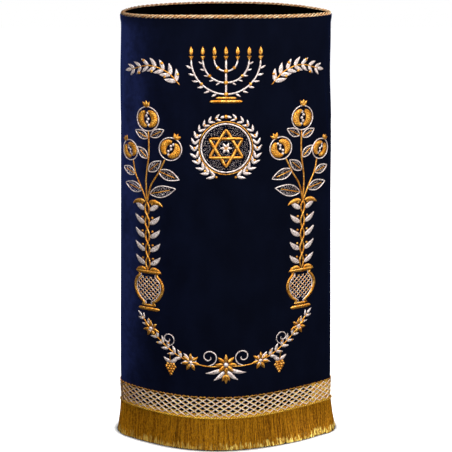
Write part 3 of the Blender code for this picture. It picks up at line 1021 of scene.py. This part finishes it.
# %% Fringe heading
HEADING = np.array([0.0545, 0.0634])  # heights of its foot and top
HEADING_OUT = 0.0010
HEADING_CORD = Laid(0.0563, 0.0030, 0.0, 0.00155, 2, 90, 10, 8)

sections = wall(even_turns[:-1], HEADING, HEADING_OUT, GAP)[None]
tape = skin(sections, np.linspace(0, LOOP_LENGTH, len(even_turns))[None], closed=True)
add_piece("fringe_cord", [laid_cord(HEADING_CORD)], heading_gold)
add_piece("fringe_heading", [tape], tape_gold)

# %% [markdown]
# ## The embroidery
#
# The embroiderer works on the flat front, so the design is drawn flat here too: millimetres across
# from the middle of the front, and millimetres up from the floor. The motifs are traditional ones,
# laid out anew: a seven-branched lampstand, leafy sprays, a six-pointed star in a wreath, a
# pomegranate tree in an urn on each side, and a garland of flowers, leaves and grapes at the foot.
# Leaves and petals are padded satin stitch, outlines are couched cord, and fields are seed stitch.

# %% Drawing on the flat front
FRONT_BEARINGS = np.linspace(math.pi, FULL_TURN, 721)


def front_arc(height):
    """Distance across the front from its middle, at the front's bearings and one height."""
    along = distances(pair(*outline(FRONT_BEARINGS, height)))
    return along - along[len(along) // 2]


HEM_ARC, RIM_ARC = front_arc(0.0), front_arc(HEIGHT)


def on_front(across, height, out):
    """Mapping for the embroidery: the bearing that lies that far across at the rim and at the hem,
    mixed by height."""
    share = height / HEIGHT
    at_hem = np.interp(across, HEM_ARC, FRONT_BEARINGS)
    at_rim = np.interp(across, RIM_ARC, FRONT_BEARINGS)
    return place(at_hem * (1 - share) + at_rim * share, height, out)


print(f"the front is {(HEM_ARC[-1] - HEM_ARC[0]) / MM:.0f} mm across at the hem")

# %% Stitches, in millimetres
SINK = -0.1  # the stitches press a little into the pile
LEAF_RINGS = 9
LEAF_TIP = 0.6  # half width under which a leaf also gets thin
CORD_STEP = 9.6  # four rings for each such length of cord
BEAD_RISE = 0.62  # of its radius
SEED_HALF = 0.34
SEED_RISE = 0.5
PATH_STEPS = 120


def towards(degrees):
    """Direction at an angle, anticlockwise from straight right."""
    angle = np.radians(degrees)
    return pair(np.cos(angle), np.sin(angle))


def leaf(foot, turn, length, width, bend=0.0, plump=1.1):
    """A pointed satin leaf. Its spine starts at foot, heads off at `turn` degrees and curves by
    `bend` degrees. Its half width follows share ** 0.6 * (1 - share), scaled to the width."""
    share = np.linspace(0.0, 1.0, LEAF_RINGS)
    steps = length / (LEAF_RINGS - 1) * towards(turn + bend * (share - 0.5))
    curve = (share + 0.03) ** 0.6 * (1.012 - share)
    curve /= curve.max()
    half = width / 2 * curve
    rise = plump * (0.25 + 0.75 * np.sqrt(curve)) * np.minimum(1, half / LEAF_TIP) ** 0.5
    return stroke(np.array(foot) + np.cumsum(steps, axis=0) - steps[0], half, rise, SINK)


def cord(points, half, plump=1.0, base=SINK):
    """A couched cord through a few points."""
    rings = 5 + 4 * int(distances(points)[-1] / CORD_STEP)
    return cord_stroke(path_through(points, rings), half, plump, base)


def bar(across, level, half_length, half, plump):
    """A level cord."""
    return cord([(across - half_length, level), (across + half_length, level)], half, plump)


def bead(centre, radius, rings=9):
    """A round padded dot."""
    return knot_stroke(centre, radius, radius * BEAD_RISE, SINK, rings)


def arc(centre, radius, first, last, count):
    """Points on an arc between two angles."""
    return np.array(centre) + radius * towards(np.linspace(first, last, count))

# %% Sprays, flowers and fields of stitches
def mirrored(strokes):
    """The strokes and their mirror images across the middle of the front."""
    return strokes + [one._replace(spine=one.spine * (-1.0, 1.0)) for one in strokes]


def spray(points, pairs, length, width, splay, first=0.08, last=0.94, bend=18, berry=0.0):
    """Leaf pairs along a stem, shorter towards its end, each turned by `splay` off the stem, with a
    leaf at its tip, and berries between the pairs on alternate sides."""
    path = path_through(points, PATH_STEPS + 1)
    heading = np.gradient(path, axis=0)
    degrees = np.degrees(np.arctan2(heading[:, 1], heading[:, 0]))
    leaves = [leaf(path[-1], degrees[-1], length * 0.7, width * 0.8)]
    berries = []
    gap = (last - first) / (pairs - 1)
    for number, share in enumerate(np.linspace(first, last, pairs)):
        at = int(round(share * PATH_STEPS))
        size = 1.0 - 0.3 * share
        for side in (-1, 1):
            turn = degrees[at] + side * splay
            leaves.append(leaf(path[at], turn, length * size, width * size, -side * bend))
        between = min(int((share + gap / 2) * PATH_STEPS), PATH_STEPS)
        side = left_of(heading[between]) * (-1) ** number
        berries.append(bead(path[between] + side * length * 0.42 / np.linalg.norm(side), berry))
    return leaves, berries[:-1] if berry else []


def flower(centre, petals, length, width, first=90.0, inner=0.3, plump=1.2):
    """A ring of petals round a centre."""
    turns = first + np.arange(petals) * 360 / petals
    starts = arc(centre, inner * length, first, first + 360, petals + 1)
    return [leaf(start, turn, length, width, 0.0, plump) for start, turn in zip(starts, turns)]


def seeds(inside, low, high, pitch, seed, length=1.5):
    """Seed stitches: short stitches in every direction, one on each point of a jittered grid that
    lies inside the field."""
    chance = np.random.default_rng(seed)
    x, y = np.meshgrid(np.arange(low[0], high[0], pitch), np.arange(low[1], high[1], pitch))
    spots = pair(x.ravel(), y.ravel())
    spots = spots + chance.uniform(-0.42, 0.42, spots.shape) * pitch
    spots = spots[inside(spots[:, 0], spots[:, 1])]
    angle = chance.uniform(0, math.pi, len(spots))
    reach = pair(np.cos(angle), np.sin(angle)) * length / 2
    ends = np.stack([spots - reach, spots + reach], axis=1)
    return [stroke(spine, SEED_HALF, SEED_RISE, SINK) for spine in ends]


def sew(name, strokes, finish, profile=DOME):
    """Lay the strokes on the front as one piece, turned from millimetres into metres."""
    strokes = [Stroke(*(part * MM for part in one)) for one in strokes]
    return add_piece(name, stroke_skins(strokes, profile, on_front), finish)

# %% [markdown]
# ### The lampstand
#
# Seven lamps stand in a row. Three half circles and a stem carry them, in silver cord, with small
# leaves along two of the branches. The knobs, the cups, the flames and the stepped foot are gold.
# Each branch could be a curve of its own, but half circles round one point are even by themselves.

# %% Lampstand
LAMP_LEVEL = 671
LAMP_FOOT = 611
LAMP_RADII = (18.5, 37.0, 55.5)
LAMP_LEAVES = ((37.0, 7.0, 3.0, 16), (55.5, 9.5, 3.8, 12))  # radius, length, width, degrees apart
LAMP_LEAF_ARC = (286, 356)  # angles between which they stand
LAMP_LEAF_LEAN = 42  # degrees off the radius
CUP_RISE = 6
CUP_HALVES = np.array([1.2, 1.8, 2.6, 3.6, 3.8])  # half widths from the cup's foot to its rim
FLAME = (13.5, 6.6)  # length and width
FOOT_BARS = ((603.5, 26, 2.6), (609.2, 16, 2.1))  # height, half length, half width

silver, gold = [cord([(0, LAMP_FOOT), (0, LAMP_LEVEL)], 1.7)], []
for radius in LAMP_RADII:
    silver.append(cord(arc((0, LAMP_LEVEL), radius, 180, 360, 25), 1.45))
    gold.append(bead((0, LAMP_LEVEL - radius), 3.8))
    gold += [bead(point, 2.8) for point in arc((0, LAMP_LEVEL), radius, 225, 315, 2)]
for radius, length, width, step in LAMP_LEAVES:
    for angle in range(*LAMP_LEAF_ARC, step):
        start = arc((0, LAMP_LEVEL), radius + 1.5, angle, angle, 1)[0]
        silver += mirrored([leaf(start, angle + LAMP_LEAF_LEAN, length, width, 20)])
for across in np.linspace(-LAMP_RADII[-1], LAMP_RADII[-1], 7):
    cup = path_through([(across, LAMP_LEVEL), (across, LAMP_LEVEL + CUP_RISE)], len(CUP_HALVES))
    gold.append(stroke(cup, CUP_HALVES, 1.2, SINK))
    gold.append(leaf((across, LAMP_LEVEL + CUP_RISE + 1.5), 90, *FLAME))
gold += [bar(0, *row, 1.3) for row in FOOT_BARS]
sew("lampstand_silver", silver, silver_satin)
sew("lampstand_gold", gold, gold_satin)

# %% [markdown]
# ### Leafy sprays
#
# A spray of silver leaves with gold berries arches on each side of the lampstand. The leaves are
# stitched in two halves, so each has a vein down its middle. They could be set one by one, but a
# spray follows a rule, pairs along a stem that get smaller, so one function makes them all.

# %% Sprays
SPRAY_STEM = ((74, 630), (94, 650), (122, 660), (160, 652))
leaves, berries = spray(SPRAY_STEM, 7, 21.0, 8.2, 42, berry=2.7)
sew("sprays_silver", mirrored(leaves), silver_satin, VEINED)
sew("sprays_gold", mirrored(berries + [cord(SPRAY_STEM, 1.1)]), gold_satin)

# %% [markdown]
# ### The star in its wreath
#
# A six-pointed star is two triangles that pass over and under each other. Its bars are gold satin,
# three for each triangle, and the rise of a bar swings along it. The round field behind the star is
# silver seed stitch, so the velvet glints between the bars.

# %% Star
STAR = (0.0, 527.0)
STAR_RADIUS = 31.5
STAR_BAR = 2.5  # half width of a bar
BAR_RINGS = 13
BAR_END = 0.25  # share of that width at its very end
BAR_TAPER = 0.05  # share of its length over which an end would gain a whole such width
BAR_SWING = 0.4  # over and under the next bar
FIELD_RADIUS = 37.0
FIELD_HOLE = 10.5  # room for the flower in the middle
FIELD_CLEAR = 1.2  # between a bar and the seeds beside it

bars, bar_ends = [], []
share = np.linspace(0, 1, BAR_RINGS)
bar_half = STAR_BAR * np.minimum(1, np.minimum(share, 1 - share) / BAR_TAPER + BAR_END)
over_under = SINK + BAR_SWING * (1 + np.sin(share * FULL_TURN))
for tip in (90, 270):
    corners = arc(STAR, STAR_RADIUS, tip, tip + 360, 4)
    for ends in zip(corners[:-1], corners[1:]):
        bars.append(stroke(path_through(ends, BAR_RINGS), bar_half, 1.3, over_under))
        bar_ends.append(ends)


def in_star_field(x, y):
    """Inside the round field and clear of the bars and of the flower in the middle."""
    clear = np.hypot(x - STAR[0], y - STAR[1])
    inside = (clear < FIELD_RADIUS) & (clear > FIELD_HOLE)
    for start, stop in bar_ends:
        run, from_start = stop - start, pair(x, y) - start
        share = np.clip(from_start @ run / (run @ run), 0, 1)
        inside &= np.linalg.norm(from_start - share[:, None] * run, axis=1) > STAR_BAR + FIELD_CLEAR
    return inside


sew("star_field", seeds(in_star_field, (-40, 487), (40, 567), 2.5, 5), silver_satin, SEED)

# %% Wreath
WREATH_RADIUS = 51.0
FIELD_RINGS = ((40.0, 1.4), (43.6, 1.0))  # radius and half width of the silver cord and the gold one
WREATH_HEAD = (0, 579)

leaves, _ = spray(arc(STAR, WREATH_RADIUS, -82, 80, 15), 12, 14.5, 5.6, 34, bend=10)
berries = [bead(point, 2.1) for point in arc(STAR, WREATH_RADIUS, -72, 72, 7)]
rings = [cord(arc(STAR, radius, -90, 270, 37), half) for radius, half in FIELD_RINGS]
silver = rings[:1] + flower(STAR, 6, 8.5, 4.8, 60.0, 0.18)
gold = bars + flower(STAR, 6, 4.0, 2.6, inner=0.18) + [bead(WREATH_HEAD, 3.4)] + rings[1:]
sew("wreath_silver", silver + mirrored(leaves), silver_satin)
sew("star_gold", gold + mirrored(berries), gold_satin)

# %% [markdown]
# ### The pomegranate trees
#
# Each side of the front has a tree in an urn. Two gold cords twist into its trunk, which carries
# pairs of silver leaves. Above them are large leaves, outlined in silver and filled with seed
# stitch, and three split pomegranates with their seeds showing. Only the right tree is drawn, and
# the left one is its mirror image, as if the pattern had been folded down the middle.

# %% Pomegranates
CRESCENT_RINGS = 13
FRUIT_SEEDS = (-0.52, -0.26, 0.0, 0.26, 0.5)  # places of the seeds along the split, in radii


def pomegranate(across, up, radius, turn):
    """Two filled gold crescents that leave a split between them, silver seeds in the split, a silver
    outline and a crown of three gold points. Turn leans the whole fruit."""
    centre = np.array([across, up])
    axis = towards(turn)
    swell = np.sqrt(np.sin(math.pi * np.linspace(0.04, 0.96, CRESCENT_RINGS)))
    filled, silver = [], [cord(arc(centre, radius * 1.03, turn, turn + 360, 25), 1.0)]
    for side in (-1, 1):
        bent = arc(centre, radius * 0.64, turn + side * 12, turn + side * 168, 9)
        filled.append(stroke(path_through(bent, CRESCENT_RINGS), radius * 0.31 * swell, 1.8, SINK))
    for number, share in enumerate(FRUIT_SEEDS):
        spot = centre + (axis * share + left_of(axis) * 0.07 * (-1) ** number) * radius
        silver.append(bead(spot, radius * 0.13, 7))
    top = centre + axis * radius
    gold = [leaf(top, turn + splay, radius * 0.58, radius * 0.34) for splay in (-36, 0, 36)]
    return filled, gold, silver

# %% Large leaves with a field of seed stitch
FROND_RINGS = 13
FROND_POWER = 0.85  # under 1, so a leaf is fullest nearer its foot
FROND_ENDS = (0.05, 0.95)  # shares of the length between which seeds lie
FROND_CLEAR = (1.4, 1.8)  # between the seeds and the vein, and the edge
FROND_VEIN = 0.78  # share of the length
FROND_PITCH = 2.2


def frond(across, up, turn, length, width, seed):
    """A leaf drawn as two silver cords that bow apart and meet at the tip, with a gold vein and a
    field of seed stitch. Its half width is width / 2 * sin(pi * share ** power), where share is
    that of its length."""
    foot = np.array([across, up], float)
    axis, normal = towards(turn), left_of(towards(turn))

    def half_width(share):
        return width / 2 * np.sin(math.pi * np.clip(share, 0, 1) ** FROND_POWER)

    def inside(x, y):
        from_foot = pair(x, y) - foot
        along = from_foot @ axis / length
        off = np.abs(from_foot @ normal)
        within = (along > FROND_ENDS[0]) & (along < FROND_ENDS[1])
        return within & (off > FROND_CLEAR[0]) & (off < half_width(along) - FROND_CLEAR[1])

    share = np.linspace(0, 1, FROND_RINGS)[:, None]
    middle = foot + axis * length * share
    edges = [cord(middle + side * normal * half_width(share), 1.0) for side in (-1, 1)]
    vein = cord([foot, foot + axis * length * FROND_VEIN], 0.8, 0.9)
    reach = length + width
    return edges, vein, seeds(inside, foot - reach, foot + reach, FROND_PITCH, seed)

# %% Crown of the tree
FRUITS = ((91, 524, 18.5, 118), (130, 572, 19.5, 86), (168, 516, 16.5, 62))  # across, up, radius, turn
BOUGHS = (
    ((134, 430), (126, 460), (110, 486), (100, 507)),
    ((134, 430), (135, 470), (129, 512), (128.6, 552)),
    ((134, 430), (146, 458), (157, 480), (161, 500)),
)
FRONDS = (  # across, up, turn, length, width
    (128, 446, 166, 47, 19),
    (143, 451, 12, 38, 17),
    (112, 486, 200, 38, 17),
    (130, 484, 140, 30, 15),
    (157, 477, 18, 29, 14),
    (131, 506, 42, 27, 14),
    (125, 543, 152, 27, 13),
    (130, 540, 26, 27, 13),
)

gold, silver, crescents, dots = [cord(bough, 1.4) for bough in BOUGHS], [], [], []
for row in FRUITS:
    for made, part in zip((crescents, gold, silver), pomegranate(*row)):
        made += part
for number, row in enumerate(FRONDS):
    edges, vein, field = frond(*row, 20 + number)
    silver += edges
    gold.append(vein)
    dots += field
sew("tree_fields", mirrored(dots), silver_satin, SEED)
sew("tree_fruits", mirrored(crescents), gold_filled)

# %% Trunk and its leaves
TRUNK = 134.0  # across
TRUNK_FOOT = 313.0
TRUNK_TOP = 432.0
TRUNK_TWIST = 47.6  # one turn of the two cords
TRUNK_HALF = 3.8
END_LEAVES = ((431, 27), (313, 22))  # height and length of the gold leaves where the trunk ends

climb = np.linspace(TRUNK_FOOT, TRUNK_TOP, 49)
phase = (climb - TRUNK_FOOT) / TRUNK_TWIST * FULL_TURN
veined = []
for side in (-1, 1):
    path = pair(TRUNK + side * TRUNK_HALF * np.sin(phase), climb)
    gold.append(cord_stroke(path, 1.7, 1.2, SINK + 0.3 * (1 + side * np.cos(phase))))
    for level in np.arange(TRUNK_FOOT + TRUNK_TWIST / 4, TRUNK_TOP, TRUNK_TWIST / 2):
        start = (TRUNK + side * (TRUNK_HALF + 1.2), level - 2)
        veined.append(leaf(start, 90 - side * 54, 24.0, 9.0, side * 40))
        gold.append(bead((TRUNK + side * (TRUNK_HALF + 5.5), level + 8.0), 2.2))
    for level, length in END_LEAVES:
        gold.append(leaf((TRUNK + side * 4, level), 270 + side * 80, length, 9.0, -side * 55, 1.4))

# %% Urns
URN_FOOT = 243.0
URN_HEIGHT = 66.0
URN_HALF_WIDTH = 26.5
URN_SHARES = (0.0, 0.07, 0.14, 0.30, 0.56, 0.80, 0.91, 1.0)
URN_WIDTHS = (0.64, 0.60, 0.34, 0.70, 1.0, 0.84, 0.62, 0.80)
URN_BELLY = (0.24, 0.88)
URN_SIDE = (0.10, 0.95)
URN_BARS = ((0, 20, 3.2), (6.6, 11, 2.3), (66, 23, 3.2))  # height in the urn, half length, half width
NET_REACH = 77  # the threads start from this far left of the trunk to this far right of it
NET_PITCH = 8.0
NET_STEPS = 161
NET_SHORTEST = 12  # steps, below which a thread is left out
NET_INSET = 3.2


def urn_half_width(up):
    """Half width of the urn at a height above its foot."""
    return URN_HALF_WIDTH * through(up / URN_HEIGHT, URN_SHARES, URN_WIDTHS)


def urn_net():
    """Diagonal threads inside the urn's belly, cut where they leave it, and their crossings."""
    low, high = np.array(URN_BELLY) * URN_HEIGHT
    up = np.linspace(low, high, NET_STEPS)
    starts = np.arange(-NET_REACH, NET_REACH + 1, NET_PITCH)
    lines = []
    for lean in (-1, 1):
        for start in starts:
            across = start + lean * (up - low)
            inside = np.abs(across) < urn_half_width(up) - NET_INSET
            if inside.sum() > NET_SHORTEST:
                ends = pair(TRUNK + across[inside], URN_FOOT + up[inside])[[0, -1]]
                lines.append(cord(ends, 0.55, 0.7, SINK + 0.2 * (lean > 0)))
    first, second = np.meshgrid(starts, starts)
    spots = pair((first + second) / 2, low + (second - first) / 2).reshape(-1, 2)
    keep = (spots[:, 1] > low) & (spots[:, 1] < high)
    keep &= np.abs(spots[:, 0]) < urn_half_width(np.clip(spots[:, 1], low, high)) - NET_INSET - 1.3
    return lines, [bead(spot + (TRUNK, URN_FOOT), 1.8, 5) for spot in spots[keep]]


climb = np.linspace(*URN_SIDE, 21) * URN_HEIGHT
for side in (-1, 1):
    edge = pair(TRUNK + side * urn_half_width(climb), URN_FOOT + climb)
    gold.append(cord(edge, 2.6, 1.5))
    silver.append(cord(edge - (side * 4.0, 0.0), 0.8, 0.8))
gold += [bar(TRUNK, URN_FOOT + up, half_length, half, 1.6) for up, half_length, half in URN_BARS]
lines, net_knots = urn_net()

sew("trees_gold", mirrored(gold + net_knots), gold_satin)
sew("trees_silver", mirrored(silver + lines), silver_satin)
sew("trunk_leaves", mirrored(veined), silver_satin, VEINED)

# %% [markdown]
# ### The garland
#
# A garland hangs from one side to the other above the braid: a gold stem with silver leaves and
# gold berries, gold flowers, bunches of grapes and curling tendrils. Its right half is drawn and
# mirrored like the trees, and the flower in the middle is put on last.

# %% Garland
GARLAND_STEM = ((0, 150), (38, 151), (78, 164), (114, 190), (148, 228))
GARLAND_FLOWERS = ((60, 156, 12.5, 6.6), (131, 208, 11.5, 6.2))  # across, up, petal length, width
GRAPE_FOOT = (95, 131)
GRAPE_ROWS = (1, 2, 3, 4, 3)
GRAPE_PITCH = 5.2
GRAPE_ROW = 0.86  # of the pitch, from one row to the next
GRAPE_STEM = ((95, 150), (96, 162), (91, 172))
GRAPE_LEAVES = ((95, 153, 30, 15, 7.0, 40), (95, 153, 150, 15, 7.0, -40))
MIDDLE_LEAVES = ((3, 141, 316, 24, 7.5, 30), (6, 145, 344, 30, 7.5, 30))
TENDRILS = ((29, 166.5, 15.0, 1.1), (99, 194.0, 12.5, 0.9))  # centre, radius, half width
TENDRIL_TURN = 470
TENDRIL_FADE = 580  # the turn at which a tendril would reach its centre
MIDDLE = (0, 153)

silver, gold = spray(GARLAND_STEM[1:], 10, 16.5, 6.6, 42, first=0.10, last=0.96, berry=2.1)
gold += [cord(GARLAND_STEM, 1.1), cord(GRAPE_STEM, 0.8)]
for across, up, length, width in GARLAND_FLOWERS:
    gold += flower((across, up), 7, length, width, plump=1.6)
    silver.append(bead((across, up), 3.6))
for row, count in enumerate(GRAPE_ROWS):
    level = GRAPE_FOOT[1] + row * GRAPE_PITCH * GRAPE_ROW
    for across in (np.arange(count) - (count - 1) / 2) * GRAPE_PITCH:
        gold.append(bead((GRAPE_FOOT[0] + across, level), 2.6))
for across, up, *shape in GRAPE_LEAVES + MIDDLE_LEAVES:
    silver.append(leaf((across, up), *shape))
for across, up, radius, half in TENDRILS:
    turn = np.linspace(0, TENDRIL_TURN, 29)
    reach = radius * (1 - turn[:, None] / TENDRIL_FADE)
    silver.append(cord((across, up) + reach * towards(270 - turn), half, 0.9))

middle_gold = flower(MIDDLE, 8, 14.0, 7.0, 90.0, 0.36, 1.8)
middle_gold += [leaf((0, 135), 270 + side * 30, 17 - abs(side) * 4, 7.0) for side in (-1, 0, 1)]
sew("garland_gold", mirrored(gold) + middle_gold, gold_satin)
sew("garland_silver", mirrored(silver) + [bead(MIDDLE, 4.4)], silver_satin)

# %% [markdown]
# ## The sheets of cloth
#
# The two velvet panels and the lining are the cover's sheets of cloth. The panels are a little wider
# at the hem than at the rim.

# %% Sheets of cloth
print("three sheets of cloth")

# %% [markdown]
# ## The studio
#
# The photograph has a white floor and a white background, with only a thin dark line and a faint
# shadow under the fringe. A white floor that is only lit gets grey, so this one also glows, least
# near the cover, and an Ambient Occlusion node paints the dark line as a painted contact shadow.
# The main light comes from the front, a second one from the right and a weak one from the left, with
# more from above and behind.

# %% Floor
FLOOR_HALF = 4.5
FLOOR_LEVEL = -0.0004
FLOOR_CORNERS = ((-1, -1), (1, -1), (1, 1), (-1, 1))
FLOOR_GLOW = (0.35, 1.1, 0.70, 1.0)  # two distances from the cover, and the glow at each
CONTACT_REACH = 0.022  # how far out the painted contact shadow under the fringe reaches
CONTACT = (0.62, 0.93)  # painted contact shadow: share of open sky at which the floor is black, and white
FLOOR_WHITES = ((0.90, 0.90, 0.90), (0.93, 0.93, 0.93))

white_floor = Finish("white_floor", Roughness=0.7, Specular_IOR_Level=0.2, Emission_Strength=1.0)
# Painted contact shadow: Ambient Occlusion darkens the floor's colour and its glow.
sky = white_floor.add("AmbientOcclusion", {"Distance": CONTACT_REACH}, "AO")
sky = white_floor.remap(sky, *CONTACT)
tint = white_floor.blend(white_floor.cloud(3.0, 2.0), *FLOOR_WHITES)
white_floor.feed("Base Color", white_floor.blend(sky, (0.0, 0.0, 0.0), tint))
where = white_floor.add("TexCoord", output="Object")
away = white_floor.add("VectorMath", {0: where}, "Value", operation="LENGTH")
glow = white_floor.reckon("MULTIPLY", white_floor.remap(away, *FLOOR_GLOW), sky)
white_floor.feed("Emission Color", glow)

floor_mesh = bpy.data.meshes.new("floor")
corners = [(x * FLOOR_HALF, y * FLOOR_HALF, FLOOR_LEVEL) for x, y in FLOOR_CORNERS]
floor_mesh.from_pydata(corners, [], [(0, 1, 2, 3)])
floor_mesh.materials.append(white_floor.material)
floor = add_object("floor", floor_mesh)
floor.visible_diffuse = False
floor.visible_glossy = False

# %% Lights
Softbox = namedtuple("Softbox", "name at aim_height width height watts tint")
SOFTBOXES = (
    Softbox("front_light", (-0.16, -2.22, 1.74), 0.4, 1.3, 1.3, 88, (1.0, 0.985, 0.96)),
    Softbox("right_light", (2.02, -1.17, 1.54), 0.4, 1.3, 1.5, 62, (1.0, 0.97, 0.93)),
    Softbox("edge_light", (-2.29, 0.93, 1.2), 0.4, 1.2, 1.8, 10, (0.94, 0.97, 1.0)),
    Softbox("top_light", (0.0, -0.77, 2.79), 0.6, 1.2, 1.2, 22, (1.0, 1.0, 1.0)),
    Softbox("back_light", (0.4, 2.5, 0.42), 0.38, 1.8, 0.8, 45, (1.0, 0.98, 0.96)),
)
for box in SOFTBOXES:
    data = bpy.data.lights.new(box.name, "AREA")
    data.shape = "RECTANGLE"
    data.size, data.size_y = box.width, box.height
    data.energy = box.watts
    data.color = box.tint
    light = add_object(box.name, data)
    light.location = box.at
    x, y, drop = box.at[0], box.at[1], box.at[2] - box.aim_height
    light.rotation_euler = (math.atan2(math.hypot(x, y), drop), 0.0, math.atan2(x, -y))
print(len(SOFTBOXES), "soft lights, turned to the middle of the cover")

# %% White surround
world = bpy.data.worlds.new("studio")
world.use_nodes = True
background = world.node_tree.nodes["Background"]
background.inputs["Color"].default_value = (1.0, 1.0, 1.0, 1.0)
background.inputs["Strength"].default_value = 1.0
world.cycles_visibility.diffuse = False
world.cycles_visibility.glossy = False
bpy.context.scene.world = world
bpy.context.scene.view_settings.view_transform = "Standard"
print("white surround")
